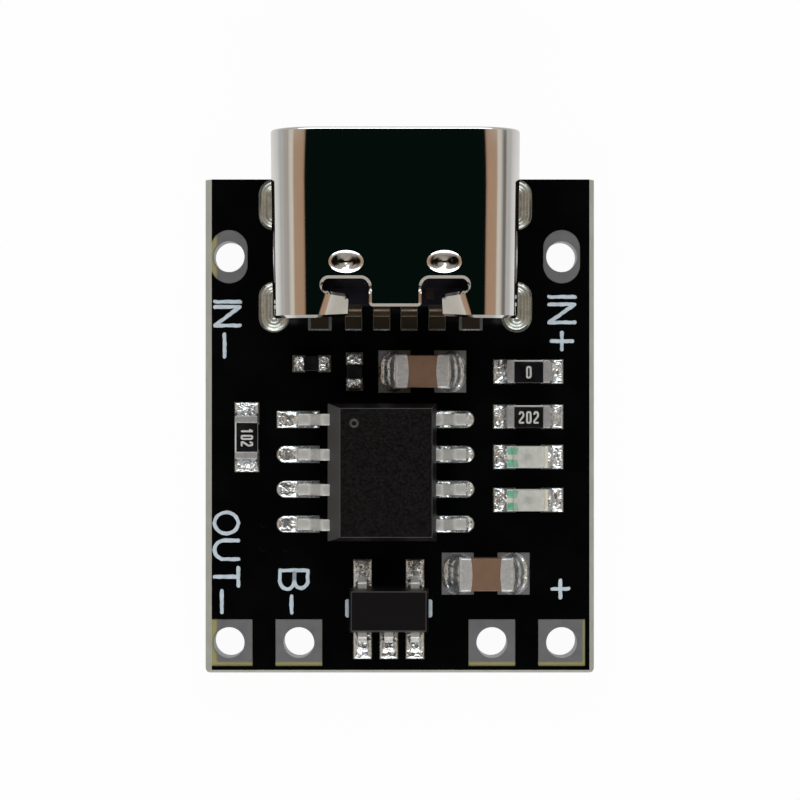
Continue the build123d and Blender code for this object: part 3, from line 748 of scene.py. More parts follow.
NUMBER_PRINT = Finish(
    "number_print", "ink", (0.64, 0.63, 0.59), (0.46, 0.455, 0.43), (0.5, 0.65),
    density=7.0, grain=10.0, relief=0.004, specular=0.3,
)
WHITE_PRINT = Finish(
    "white_print", "ink", (0.60, 0.68, 0.74), (0.48, 0.55, 0.61), (0.5, 0.65),
    density=4.0, grain=10.0, relief=0.006, specular=0.3,
)


# Socket


@dataclass
class ChargingSocket:
    """The charging socket: its folded shell, and the finishes of what it holds.

    Attributes:
        sheet: Thickness of the shell's metal.
        draw: How much each side draws in from the mouth to the rear.
        tongue_half: Half the width of the shell's middle tongue.
        tongue_short: How far the tongue stops short of the rear.
        notch_depth: Depth of the notches beside the tongue.
        tab_root: Where a tab's bend starts at the rear edge, from the middle.
        tab_tip: Where its free edge is before it is bent, from the middle.
        tab_length: Length of a tab along the socket.
        tab_taper: How much shorter it is at its free edge.
        tab_turn: Its bend in degrees.
        tab_dent: Unevenness of its face.
        bend_radius: Outer radius of that bend.
        dimple_x: Place of a dimple from the middle.
        dimple_y: Its place from the rear.
        dimple_half: Half its length and half its width.
        dimple_slopes: How steep it is at its border and inside.
        dimple_roll: Width of its rolled border.
        dimple_dent: Unevenness of its bottom.
        floor_half: Half the width of the opening in the floor.
        floor_depth: Its depth from the rear.
        leg_width: Width of a leg.
        leg_relief: Cut beside a leg.
        leg_places: Places of the rear and the front legs from the rear.
        lip: Radius of the mouth's rim.
        rim: Width of the bevel along every other cut edge.
        notch_r: Radius of a notch's corner beside the tongue.
        tongue_r: Radius of the tongue's corners.
        tab_corner: Radius of a tab's free corner.
        turn_x: Centre of the notch's round end above a tab, from the middle.
        dimple_margin: Flat sheet scored round a dimple.
        seam_gap: Width of the butt seam in the floor.
        seam_key: How far its key reaches sideways.
        seam_key_length: Length of the key's outer edge.
        seam_neck: Length of its neck.
        seam_strip: Half the width of the floor that is scored for it.
        patch_depth: Depth of the roof's notched part.
        span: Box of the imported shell.
    """

    sheet: float = 0.27
    draw: float = 0.08
    tongue_half: float = 0.95
    tongue_short: float = 0.4
    notch_depth: float = 1.39
    tab_root: float = 3.02
    tab_tip: float = 1.45
    tab_length: float = 0.93
    tab_taper: float = 0.12
    tab_turn: float = 36.0
    tab_dent: float = 0.014
    bend_radius: float = 0.8
    dimple_x: float = 1.77
    dimple_y: float = 1.98
    dimple_half: tuple[float, float] = (0.635, 0.4)
    dimple_slopes: tuple[float, float] = (0.66, 0.325)
    dimple_roll: float = 0.14
    dimple_dent: float = 0.007
    floor_half: float = 3.48
    floor_depth: float = 1.05
    leg_width: float = 0.9
    leg_relief: float = 0.12
    leg_places: tuple[float, float] = (0.48, 4.2)
    lip: float = 0.1
    rim: float = 0.1
    notch_r: float = 0.3
    tongue_r: float = 0.14
    tab_corner: float = 0.22
    turn_x: float = 2.40
    dimple_margin: float = 0.05
    seam_gap: float = 0.05
    seam_key: float = 0.45
    seam_key_length: float = 1.35
    seam_neck: float = 0.9
    seam_strip: float = 0.9
    patch_depth: float = 1.52
    span: Span = field(default_factory=lambda: node_span("socket_shell"))

    @property
    def width(self) -> float:
        """Outer width at the mouth."""
        return self.span.size.x

    @property
    def height(self) -> float:
        """Outer height of the folded tube."""
        return self.span.high.z - BOARD_TOP

    @property
    def length(self) -> float:
        """Length from the rear edge to the mouth."""
        return self.span.size.y

    @property
    def flat_half(self) -> float:
        """Half the width of the flat roof between the rounded sides."""
        return self.width / 2 - self.side_r

    @property
    def side_r(self) -> float:
        """Radius of the rounded sides."""
        return self.height / 2 - 0.001

    @property
    def turn_r(self) -> float:
        """Radius of the notch's round end above a tab."""
        return (self.notch_depth - self.tab_length) / 2

    @property
    def turn_y(self) -> float:
        """Centre of that round end, from the rear."""
        return self.tab_length + self.turn_r

    def build(self) -> None:
        """Build the shell and give every other node of the socket its finish."""
        self.build_shell()
        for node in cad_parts:
            if node.startswith("socket_contact"):
                dress_node(node, CONTACT)
        dress_node("socket_housing", SOCKET_BLACK)
        dress_node("socket_mid_plate", PLATE_STEEL)
        dress_node("socket_leg_sleeves", TINNED)

    def build_shell(self) -> None:
        """Fold the shell: a tube, cut out and seamed, its tabs bent and its legs let down."""
        bm = self.tube()
        self.score(bm)
        self.cut_out(bm)
        self.let_legs_down(bm)
        self.notch_roof(bm)
        self.close_seam(bm)
        for side in (-1, 1):
            self.ring_dimple(bm, side)
        bmesh.ops.recalc_face_normals(bm, faces=bm.faces)
        roof = max(bm.faces, key=lambda f: f.calc_center_median().z)
        if roof.normal.z < 0:
            bmesh.ops.reverse_faces(bm, faces=bm.faces)
        wall_up(bm, self.sheet)
        self.roll_rims(bm)
        for side in (-1, 1):
            self.bend_tab(bm, side)
        self.press_dimples(bm)
        self.draw_in(bm)
        offset = Vector((self.span.centre.x, self.span.low.y, BOARD_TOP))
        bmesh.ops.translate(bm, vec=offset, verts=bm.verts)
        finish_piece("folded_shell", bm, NICKEL, ["socket_shell"], smooth_below=25)

    def tube(self) -> BMesh:
        """The tube of the shell as an open sheet, from the rear at zero to the mouth."""
        bm = bmesh.new()
        half = self.width / 2
        add_box(bm, Vector((-half, 0, 0)), Vector((half, self.length, self.height)))
        long_edges = [
            e for e in bm.edges if abs(e.verts[0].co.y - e.verts[1].co.y) > self.length / 2
        ]
        roll_edges(bm, long_edges, self.side_r, segments=22)
        ends = [f for f in bm.faces if abs(f.normal.y) > 0.9]
        bmesh.ops.delete(bm, geom=ends, context="FACES_ONLY")
        bmesh.ops.remove_doubles(bm, verts=bm.verts, dist=0.004)
        return bm

    def score(self, bm: BMesh) -> None:
        """Score the sheet where its cuts, tabs, legs and dimples begin and end."""
        half_leg = self.leg_width / 2
        margins = (0, self.leg_relief)
        along = [self.patch_depth, self.floor_depth]
        along += [y + s * (half_leg + r) for y in self.leg_places for s in (-1, 1) for r in margins]
        along += [self.dimple_y + s * (self.dimple_half[1] + self.dimple_margin) for s in (-1, 1)]
        for y in along:
            if self.rim < y < self.length:
                cut_across(bm, Vector((0, y, 0)), Vector((0, 1, 0)))
        across = [self.seam_strip]
        across += [self.dimple_x + s * (self.dimple_half[0] + self.dimple_margin) for s in (-1, 1)]
        for x in across:
            for side in (-1, 1):
                cut_across(bm, Vector((side * x, 0, 0)), Vector((1, 0, 0)))

    def cut_out(self, bm: BMesh) -> None:
        """Take out the rear notches, the opening in the floor and the windows of the legs."""
        middle = self.height / 2
        window = self.leg_width / 2 + self.leg_relief
        gone = []
        for face in bm.faces:
            x, y, z = face.calc_center_median()
            in_roof = z > middle and y < self.patch_depth and abs(x) < self.flat_half
            in_floor = z < middle and y < self.floor_depth and abs(x) < self.floor_half
            in_window = (
                z < middle
                and abs(x) > self.flat_half
                and any(abs(y - leg) < window for leg in self.leg_places)
            )
            if in_roof or in_floor or in_window:
                gone.append(face)
        bmesh.ops.delete(bm, geom=gone, context="FACES")

    def let_legs_down(self, bm: BMesh) -> None:
        """Draw the four legs straight down from the middle of the sides."""
        middle = self.height / 2
        foot = self.span.low.z - BOARD_TOP
        tops = []
        for edge in open_edges(bm):
            a, b = (v.co for v in edge.verts)
            if max(abs(a.z - middle), abs(b.z - middle)) < 0.01:
                if any(abs((a.y + b.y) / 2 - y) < self.leg_width / 2 for y in self.leg_places):
                    tops.append(edge)
        for vert in draw_out(bm, tops):
            vert.co.z = foot

    def notch_roof(self, bm: BMesh) -> None:
        """Fill the rear of the roof again, with the rounded notches beside the middle tongue."""
        half_x, depth = self.flat_half, self.patch_depth
        border = [
            e
            for e in open_edges(bm)
            if all(v.co.z > self.height - 0.001 for v in e.verts)
            and all(v.co.y < depth + 0.001 and abs(v.co.x) < half_x + 0.001 for v in e.verts)
            and (
                all(abs(v.co.y - depth) < 0.001 for v in e.verts)
                or all(abs(abs(v.co.x) - half_x) < 0.001 for v in e.verts)
            )
        ]
        ends = [
            next(v for e in border for v in e.verts if v.co.y < 0.001 and v.co.x * side > 0)
            for side in (-1, 1)
        ]
        left = [(-self.tab_tip, 0.0)]
        tip_y = self.tab_length - self.tab_taper - self.tab_corner
        tip = (-self.tab_tip - self.tab_corner, tip_y)
        left += bow(tip, (self.tab_corner, self.tab_corner), 0, 90, 5)
        left += bow((-self.turn_x, self.turn_y), (self.turn_r, self.turn_r), 270, 90, 14)
        inner = (-self.tongue_half - self.notch_r, self.notch_depth - self.notch_r)
        left += bow(inner, (self.notch_r, self.notch_r), 90, 0, 8)
        corner = (-self.tongue_half + self.tongue_r, self.tongue_short + self.tongue_r)
        left += bow(corner, (self.tongue_r, self.tongue_r), 180, 270, 4)
        outline = left + [(-x, y) for x, y in reversed(left)]
        rear = [bm.verts.new((x, y, self.height)) for x, y in outline]
        chain = [ends[0], *rear, ends[1]]
        rim = [bm.edges.new(pair) for pair in zip(chain, chain[1:])]
        bmesh.ops.contextual_create(bm, geom=border + rim)

    def close_seam(self, bm: BMesh) -> None:
        """Cut the keyed butt seam along the middle of the floor."""
        strip = [
            f
            for f in bm.faces
            if f.calc_center_median().z < 0.01 and abs(f.calc_center_median().x) < self.seam_strip
        ]
        bmesh.ops.delete(bm, geom=strip, context="FACES")
        middle = (self.floor_depth + self.length) / 2
        neck, key = self.seam_neck / 2, self.seam_key_length / 2
        path = [
            (0, self.floor_depth),
            (0, middle - neck),
            (self.seam_key, middle - key),
            (self.seam_key, middle + key),
            (0, middle + neck),
            (0, self.length),
        ]
        for side in (-1, 1):
            border = [
                e
                for e in open_edges(bm)
                if all(v.co.z < 0.01 for v in e.verts)
                and all(abs(v.co.x - side * self.seam_strip) < 0.001 for v in e.verts)
            ]
            ends = sorted({v for e in border for v in e.verts}, key=lambda v: v.co.y)
            seam = [bm.verts.new((x + side * self.seam_gap / 2, y, 0)) for x, y in path]
            chain = [ends[0], *seam, ends[-1]]
            rim = [bm.edges.new(pair) for pair in zip(chain, chain[1:])]
            bmesh.ops.contextual_create(bm, geom=border + rim)

    def bend_tab(self, bm: BMesh, side: int) -> None:
        """Bend one tab down round a slanting root that runs from the rear edge to the notch.

        Args:
            bm: The shell, with its tabs still flat.
            side: -1 for the left tab, 1 for the right one.
        """
        root = Vector((side * self.tab_root, 0, self.height))
        root_line = Vector((side * (self.turn_x + self.turn_r), self.turn_y, self.height)) - root
        inwards = Vector((-side * root_line.y, side * root_line.x, 0)).normalized()
        bend = math.radians(self.tab_turn) * self.bend_radius
        cuts = [(root + inwards * bend * i / 9, inwards) for i in range(10)]
        cuts += [(root + inwards * (bend + 0.2 * i), inwards) for i in range(1, 5)]
        cuts += [(Vector((0, y, 0)), Vector((0, 1, 0))) for y in (0.24, 0.42, 0.6)]
        for point, normal in cuts:
            near = [f for f in bm.faces if any(self.in_tab(v.co, side) for v in f.verts)]
            cut_across(bm, point, normal, near)
        for vert in bm.verts:
            away = (vert.co - root).dot(inwards)
            if away <= 0 or not self.in_tab(vert.co, side):
                continue
            turn = min(away / self.bend_radius, math.radians(self.tab_turn))
            rest = away - turn * self.bend_radius
            under = self.height - vert.co.z
            dent = noise.noise(Vector((vert.co.x, vert.co.y, 0)) * 4.0) * self.tab_dent
            reach = (self.bend_radius - under) * math.sin(turn) + rest * math.cos(turn)
            drop = self.bend_radius - (self.bend_radius - under) * math.cos(turn)
            vert.co += inwards * (reach - away)
            vert.co.z = self.height - drop - rest * math.sin(turn) + dent * min(1.0, away)

    def in_tab(self, point: Vector, side: int) -> bool:
        """Whether a point of the flat sheet is in or beside a tab.

        Args:
            point: The point.
            side: -1 for the left tab, 1 for the right one.

        Returns:
            True for the tab and the sheet round its root.
        """
        across = self.tab_tip - 0.05 < point.x * side < self.tab_root + 0.1
        return across and point.y < self.turn_y and point.z > self.height - self.sheet - 0.1

    def ring_dimple(self, bm: BMesh, side: int) -> None:
        """Mesh the roof in oval rings where a dimple is pressed later.

        Args:
            bm: The sheet.
            side: -1 for the left dimple, 1 for the right one.
        """
        centre = Vector((side * self.dimple_x, self.dimple_y, self.height))
        half_x, half_y = self.dimple_half
        patch = []
        for face in bm.faces:
            middle = face.calc_center_median()
            near_x = abs(middle.x - centre.x) < half_x + self.dimple_margin
            near_y = abs(middle.y - centre.y) < half_y + self.dimple_margin
            if near_x and near_y and middle.z > self.height - 0.01:
                patch.append(face)
        inside = set(patch)
        border = [e for e in edges_round(patch) if len(set(e.link_faces) & inside) == 1]
        bmesh.ops.delete(bm, geom=patch, context="FACES_ONLY")
        loose = [e for e in bm.edges if not e.link_faces]
        bmesh.ops.delete(bm, geom=loose, context="EDGES")
        border = [e for e in border if e.is_valid]
        split = bmesh.ops.subdivide_edges(bm, edges=border, cuts=7)
        border = [e for e in split["geom_split"] if isinstance(e, BMEdge)]
        border = [e for e in border if len(e.link_faces) == 1]
        ring = rim_oval(bm, border, centre, self.dimple_half)
        rows = 18
        for row in range(1, rows):
            verts = draw_out(bm, ring)
            shrink = (rows - row) / (rows - row + 1)
            bmesh.ops.scale(
                bm, vec=(shrink, shrink, 1), space=Matrix.Translation(-centre), verts=verts
            )
            ring = edges_of(verts)
        bmesh.ops.contextual_create(bm, geom=ring)

    def press_dimples(self, bm: BMesh) -> None:
        """Press both oval dimples into the roof, through its whole thickness."""
        half_x, half_y = self.dimple_half
        for vert in bm.verts:
            if vert.co.z < self.height - self.sheet - 0.01:
                continue
            off = Vector((abs(vert.co.x) - self.dimple_x, vert.co.y - self.dimple_y))
            reach = max(0.001, math.hypot(off.x / half_x, off.y / half_y))
            inwards = off.length * (1 / reach - 1)
            if reach < 1:
                steep, gentle = self.dimple_slopes
                rolled = 1 - (1 - min(1.0, inwards / self.dimple_roll)) ** 3
                cone = gentle * (1 - reach) * half_y
                border = (steep - gentle) * self.dimple_roll / 3 * rolled
                flat = Vector((vert.co.x, vert.co.y, 0)) * 4.5
                dent = (0.25 - abs(noise.noise(flat))) * self.dimple_dent * rolled**2
                vert.co.z -= cone + border + dent

    def draw_in(self, bm: BMesh) -> None:
        """Draw the sides in a little towards the rear."""
        for vert in bm.verts:
            share = min(1.0, abs(vert.co.x) / self.flat_half)
            inwards = self.draw * (self.length - vert.co.y) / self.length * share
            vert.co.x -= math.copysign(inwards, vert.co.x)

    def roll_rims(self, bm: BMesh) -> None:
        """Round the mouth's lip and bevel every other cut edge."""
        bmesh.ops.recalc_face_normals(bm, faces=bm.faces)
        steep = math.radians(50)
        sharp = [e for e in bm.edges if len(e.link_faces) == 2 and e.calc_face_angle(0) > steep]
        lips = [e for e in sharp if all(v.co.y > self.length - 0.001 for v in e.verts)]
        outer = [
            e
            for e in lips
            if any(
                abs(f.normal.y) < 0.5
                and f.normal.dot(f.calc_center_median() - Vector((0, 0, self.height / 2))) > 0
                for f in e.link_faces
            )
        ]
        others = [e for e in sharp if e not in set(outer)]
        roll_edges(bm, others, self.rim, segments=1, held=False)
        again = [e for e in outer if e.is_valid]
        roll_edges(bm, again, self.lip, segments=4)


# Chips


@dataclass
class MouldedChip:
    """A moulded chip with gull-wing leads.

    Attributes:
        name: First part of the names of its nodes.
        parting: Height of the parting line above the body's underside.
        draft: Slope of the body's sides in degrees.
        corner: Radius of the body's edges.
        ledge: Width and depth of the bevelled ledge along the first pin's side, if there is one.
        dimple: Radius, and place from the middle, of the first pin's dimple, if there is one.
        sheet: Thickness of the leads.
        foot: Length of a lead's flat foot.
        shoulder: Straight run out of the body.
        anchor: Length of a lead inside the body.
        finish: Finish of the body.
    """

    name: str
    parting: float
    draft: float
    corner: float
    sheet: float
    foot: float
    ledge: tuple[float, float] | None = None
    dimple: tuple[float, float, float] | None = None
    shoulder: float = 0.16
    anchor: float = 0.3
    finish: Finish = MOULDED

    def build(self) -> None:
        """Build the body and the leads."""
        body = node_span(f"{self.name}_body")
        self.build_body(body)
        self.build_leads(body)

    def build_body(self, body: Span) -> None:
        """Build the moulded body.

        Args:
            body: Its box.
        """
        bm = bmesh.new()
        add_box(bm, body.low, body.high)
        seam = body.low.z + self.parting
        cut_across(bm, Vector((0, 0, seam)), Vector((0, 0, 1)))
        slope = math.tan(math.radians(self.draft))
        for vert in bm.verts:
            inwards = abs(vert.co.z - seam) * slope
            for axis in (0, 1):
                vert.co[axis] -= math.copysign(inwards, vert.co[axis] - body.centre[axis])
        if self.ledge:
            width, depth = self.ledge
            top_x = min(v.co.x for v in bm.verts if v.co.z > body.high.z - 0.001)
            slice_off(
                bm,
                Vector((top_x + width, body.centre.y, body.high.z)),
                Vector((-depth, 0, width)),
            )
        roll_edges(bm, bm.edges, self.corner, segments=3)
        if self.dimple:
            self.sink_dimple(bm, body)
        finish_piece(f"{self.name}_moulding", bm, self.finish, [f"{self.name}_body"])

    def sink_dimple(self, bm: BMesh, body: Span) -> None:
        """Sink the first pin's round dimple into the top face.

        Args:
            bm: The body.
            body: Its box.
        """
        radius, from_x, from_y = self.dimple
        centre = Vector((body.centre.x + from_x, body.centre.y + from_y, body.high.z))
        reach = radius * 1.25
        for axis in (0, 1):
            for sign in (-1, 1):
                point = centre.copy()
                point[axis] += sign * reach
                normal = Vector((0, 0, 0))
                normal[axis] = 1
                top = [f for f in bm.faces if f.calc_center_median().z > body.high.z - 0.0005]
                cut_across(bm, point, normal, top)
        patch = [
            f
            for f in bm.faces
            if f.calc_center_median().z > body.high.z - 0.0005
            and (f.calc_center_median() - centre).length < reach
        ]
        border = edges_round(patch)
        bmesh.ops.delete(bm, geom=patch, context="FACES_ONLY")
        split = bmesh.ops.subdivide_edges(bm, edges=border, cuts=11)
        border = [e for e in split["geom_split"] if isinstance(e, BMEdge)]
        border = [e for e in border if len(e.link_faces) == 1]
        ring = rim_oval(bm, border, centre, (radius, radius))
        for scale, drop in ((0.93, 0.01), (0.84, 0.035), (0.72, 0.06), (0.5, 0.074), (0.25, 0.08)):
            verts = draw_out(bm, ring)
            for vert in verts:
                away = (vert.co - centre).to_2d().normalized() * radius * scale
                vert.co = centre + Vector((away.x, away.y, -drop))
            ring = edges_of(verts)
        bmesh.ops.contextual_create(bm, geom=ring)

    def build_leads(self, body: Span) -> None:
        """Build all the leads, each where its solid is.

        Args:
            body: The body's box.
        """
        bm = bmesh.new()
        for lead in solid_spans(f"{self.name}_leads"):
            away = lead.centre - body.centre
            axis = 0 if lead.size.x > lead.size.y else 1
            facing = math.copysign(1, away[axis])
            half_span = abs((lead.high if facing > 0 else lead.low)[axis] - body.centre[axis])
            inner = half_span - lead.size[axis]
            width = lead.size[1 - axis]
            turn = {(0, 1): 0, (0, -1): 180, (1, 1): 90, (1, -1): -90}[(axis, int(facing))]
            strip = self.lead_strip(inner, half_span, width, lead.high.z - BOARD_TOP)
            place = Vector((*lead.centre.xy, BOARD_TOP))
            place[axis] = body.centre[axis]
            bmesh.ops.transform(strip, matrix=turned_at(place, turn), verts=strip.verts)
            absorb(bm, strip)
        finish_piece(f"{self.name}_gull_leads", bm, SATIN_TIN, [f"{self.name}_leads"])

    def lead_strip(self, inner: float, half_span: float, width: float, top: float) -> BMesh:
        """One lead as a bent strip that runs along X.

        Args:
            inner: Where its hidden end is.
            half_span: Where its toe is.
            width: Its width.
            top: Height of its shoulder's upper face.

        Returns:
            The finished strip.
        """
        bm = bmesh.new()
        half = self.sheet / 2
        run = [
            Vector((inner, 0, top - half)),
            Vector((inner + self.anchor + self.shoulder, 0, top - half)),
            Vector((half_span - self.foot, 0, half)),
            Vector((half_span, 0, half)),
        ]
        normals = []
        for a, b in zip(run, run[1:]):
            along = (b - a).normalized()
            normals.append(Vector((-along.z, 0, along.x)))
        upper = [run[0] + normals[0] * half]
        for point, before, after in zip(run[1:-1], normals, normals[1:]):
            upper.append(point + (before + after) * half / (1 + before.dot(after)))
        upper.append(run[-1] + normals[-1] * half)
        verts = [bm.verts.new(p + Vector((0, -width / 2, 0))) for p in upper]
        edges = [bm.edges.new(pair) for pair in zip(verts, verts[1:])]
        bmesh.ops.translate(bm, vec=(0, width, 0), verts=draw_out(bm, edges))
        creases = [e for e in bm.edges if len(e.link_faces) == 2]
        roll_edges(bm, creases, self.sheet * 0.55, segments=5)
        bmesh.ops.recalc_face_normals(bm, faces=bm.faces)
        if sum(f.normal.z for f in bm.faces) < 0:
            bmesh.ops.reverse_faces(bm, faces=bm.faces)
        wall_up(bm, self.sheet)
        bmesh.ops.recalc_face_normals(bm, faces=bm.faces)
        rims = [e for e in bm.edges if e.calc_face_angle(0) > math.radians(60)]
        roll_edges(bm, rims, self.sheet * 0.14, segments=2)
        return bm


# Passive parts


@dataclass
class ChipResistor:
    """A chip resistor with rounded end clips and a slightly crowned glaze.

    Attributes:
        name: First part of the names of its nodes.
        number: What is printed on it, if anything.
        rounding: Radius of the clips' edges.
        glaze_edge: Radius of the glaze's edge.
        bare_edge: Width of the ceramic that the glaze leaves bare along one edge.
        wrap: How far the glaze stands proud of a small resistor's sides.
        digit_height: Height of the number, between the middles of its strokes.
        digit_pitch: Room for each digit on a resistor along X and on one along Y.
    """

    name: str
    number: str = ""
    rounding: float = 0.035
    glaze_edge: float = 0.02
    bare_edge: float = 0.055
    wrap: float = 0.004
    digit_height: float = 0.38
    digit_pitch: tuple[float, float] = (0.265, 0.235)

    def build(self) -> None:
        """Build the clips and the glaze, and print the number."""
        clips = bmesh.new()
        for end in solid_spans(f"{self.name}_ends"):
            add_rounded_box(clips, end.low, end.high, self.rounding)
        finish_piece(f"{self.name}_clips", clips, CLIP_TIN, [f"{self.name}_ends"])
        dress_node(f"{self.name}_ceramic", SINTERED_WHITE)
        glaze = self.glaze_span()
        crown = bmesh.new()
        add_box(crown, glaze.low, glaze.high)
        rims = [e for e in crown.edges if all(v.co.z > glaze.high.z - 0.001 for v in e.verts)]
        roll_edges(crown, rims, self.glaze_edge, segments=3)
        finish_piece(f"{self.name}_glazing", crown, BLACK_GLAZE, [f"{self.name}_glaze"])
        if self.number:
            self.print_number(glaze)

    def glaze_span(self) -> Span:
        """Box of the glaze, which leaves one long edge of the ceramic bare, or wraps a small one.

        Returns:
            The box.
        """
        glaze = node_span(f"{self.name}_glaze")
        body = node_span(f"{self.name}_ceramic")
        upright = glaze.size.y > glaze.size.x
        across = 0 if upright else 1
        low, high = glaze.low.copy(), glaze.high.copy()
        low[across], high[across] = body.low[across], body.high[across]
        if not self.number:
            low[across] -= self.wrap
            high[across] += self.wrap
            low.z = body.low.z
        elif upright:
            low[across] += self.bare_edge
        else:
            high[across] -= self.bare_edge
        return Span(low, high)

    def print_number(self, glaze: Span) -> None:
        """Print the number on the glaze, along its length.

        Args:
            glaze: Box of the glaze.
        """
        along_y = glaze.size.y > glaze.size.x
        pen = Pen(stroke=0.07, relief=0.012, rough=0.004)
        pitch = self.digit_pitch[1 if along_y else 0]
        width = pitch * 0.5
        start = -pitch * len(self.number) / 2
        signs = [
            Sign(mark, start + pitch * (i + 0.5) - width / 2, width)
            for i, mark in enumerate(self.number)
        ]
        bm = pen.write(signs, self.digit_height)
        bmesh.ops.translate(bm, vec=(0, -self.digit_height / 2, 0), verts=bm.verts)
        place = turned_at(Vector((*glaze.centre.xy, glaze.high.z)), -90 if along_y else 0)
        bmesh.ops.transform(bm, matrix=place, verts=bm.verts)
        finish_piece(f"{self.name}_number", bm, NUMBER_PRINT, even_flats=False)


@dataclass
class ChipCapacitor:
    """A chip capacitor: a rounded brown block in two satin caps with bowed edges.

    Attributes:
        name: First part of the names of its nodes.
        rounding: Radius of its edges.
        plating: Thickness of the caps over the block.
        bow: How far the middle of a cap's inner edge bows towards the other cap.
    """

    name: str
    rounding: float = 0.09
    plating: float = 0.03
    bow: float = 0.06

    def build(self) -> None:
        """Build the block and both caps."""
        block = node_span(f"{self.name}_block")
        bm = bmesh.new()
        add_rounded_box(bm, block.low, block.high, self.rounding - self.plating, segments=4)
        finish_piece(f"{self.name}_ceramic", bm, BROWN_CERAMIC, [f"{self.name}_block"])
        caps = bmesh.new()
        whole = node_span(f"{self.name}_ends")
        for end in solid_spans(f"{self.name}_ends"):
            side = math.copysign(1, end.centre.x - whole.centre.x)
            cap = bmesh.new()
            add_rounded_box(cap, whole.low, whole.high, self.rounding, segments=4)
            inner = (end.low if side > 0 else end.high).x
            for share in (0.2, 0.4, 0.6, 0.8):
                y = whole.low.y + share * whole.size.y
                cut_across(cap, Vector((0, y, 0)), Vector((0, 1, 0)))
            slice_off(cap, Vector((inner, 0, 0)), Vector((-side, 0, 0)))
            for vert in cap.verts:
                if abs(vert.co.x - inner) < 0.002:
                    off = 2 * (vert.co.y - whole.centre.y) / whole.size.y
                    vert.co.x += side * self.bow * (off * off)
            face = [f for f in cap.faces if f.normal.x * side < -0.8 and len(f.verts) > 8]
            roll_edges(cap, edges_round(face), self.plating * 0.7, segments=2)
            absorb(caps, cap)
        finish_piece(f"{self.name}_caps", caps, END_TIN, [f"{self.name}_ends"])


@dataclass
class IndicatorLamp:
    """An indicator lamp: a laminate base with scalloped ends, a die and a milky lens.

    Attributes:
        name: First part of the names of its nodes.
        draft: How much the lens narrows on each side.
        plate: Thickness of the printed plates at its ends.
        plate_left: How far the left plate reaches from the middle.
        plate_right: How far the right one reaches.
        plate_lap: How far the plates reach under the lens.
        lens_edge: Radius of the lens's edges.
        mark_length: Length of the green polarity mark at the left.
        mark_gap: Half the bare width between its two corners.
    """

    name: str
    draft: float = 0.03
    plate: float = 0.03
    plate_left: float = 0.77
    plate_right: float = 0.706
    plate_lap: float = 0.12
    lens_edge: float = 0.04
    mark_length: float = 0.4
    mark_gap: float = 0.09

    def build(self) -> None:
        """Dress the nodes, round the lens and lay the polarity mark under it."""
        dress_node(f"{self.name}_base", LAMP_BOARD)
        dress_node(f"{self.name}_ends", END_TIN)
        dress_node(f"{self.name}_die", LAMP_DIE)
        lens = node_span(f"{self.name}_lens")
        base = node_span(f"{self.name}_ends")
        bm = bmesh.new()
        add_box(bm, Vector((*lens.low.xy, base.high.z)), lens.high)
        for vert in bm.verts:
            if vert.co.z > lens.high.z - 0.001:
                vert.co.x -= math.copysign(self.draft, vert.co.x - lens.centre.x)
                vert.co.y -= math.copysign(self.draft, vert.co.y - lens.centre.y)
        tops = [e for e in bm.edges if max(v.co.z for v in e.verts) > lens.high.z - 0.001]
        roll_edges(bm, tops, self.lens_edge, segments=3)
        finish_piece(f"{self.name}_moulded_lens", bm, LAMP_CLEAR, [f"{self.name}_lens"])
        plates = bmesh.new()
        left, right = lens.centre.x - self.plate_left, lens.centre.x + self.plate_right
        reaches = ((left, lens.low.x + self.plate_lap), (lens.high.x - self.plate_lap, right))
        for low_x, high_x in reaches:
            low = Vector((low_x, lens.low.y + 0.01, base.high.z - 0.01))
            high = Vector((high_x, lens.high.y - 0.01, base.high.z + self.plate))
            add_box(plates, low, high)
        roll_edges(plates, plates.edges, 0.006, segments=2)
        finish_piece(f"{self.name}_end_plates", plates, LAMP_BOARD)
        left_corner = Vector((left, lens.centre.y, base.high.z + self.plate))
        self.print_corners("mark", LAMP_GREEN, left_corner, self.mark_length, lens)
        lens_corner = Vector((lens.low.x + self.draft, lens.centre.y, lens.high.z))
        inside = left + self.mark_length - lens_corner.x
        self.print_corners("mark_film", LAMP_GREEN_FILM, lens_corner, inside, lens)

    def print_corners(
        self, name: str, finish: Finish, start: Vector, length: float, lens: Span
    ) -> None:
        """Print the two green corners that mark the lamp's polarity.

        Args:
            name: Last part of the piece's name.
            finish: Its finish.
            start: Middle of the edge that they start from.
            length: How far they reach to the right.
            lens: Box of the lens.
        """
        mark = bmesh.new()
        for side in (-1, 1):
            outer = start.y + side * (lens.size.y / 2 - self.draft - 0.01)
            inner = start.y + side * self.mark_gap
            low = Vector((start.x + 0.004, min(outer, inner), start.z - 0.004))
            high = Vector((start.x + length, max(outer, inner), start.z + 0.006))
            verts = add_box(mark, low, high)
            for vert in verts:
                if abs(vert.co.y - inner) < 0.001 and vert.co.x > start.x + length - 0.001:
                    vert.co.x -= length * 0.35
        roll_edges(mark, mark.edges, 0.003, segments=2)
        finish_piece(f"{self.name}_{name}", mark, finish, even_flats=False)


# Solder


@dataclass(frozen=True)
class Fillet:
    """Where one fillet of solder lies.

    Attributes:
        land: The copper land that it covers.
        foot: Box of the metal that it climbs, seen from above.
        climb: How high it climbs above the board.
        corner_r: Radius of its corners, seen from above.
    """

    land: Span
    foot: Span
    climb: float
    corner_r: float = 0.16


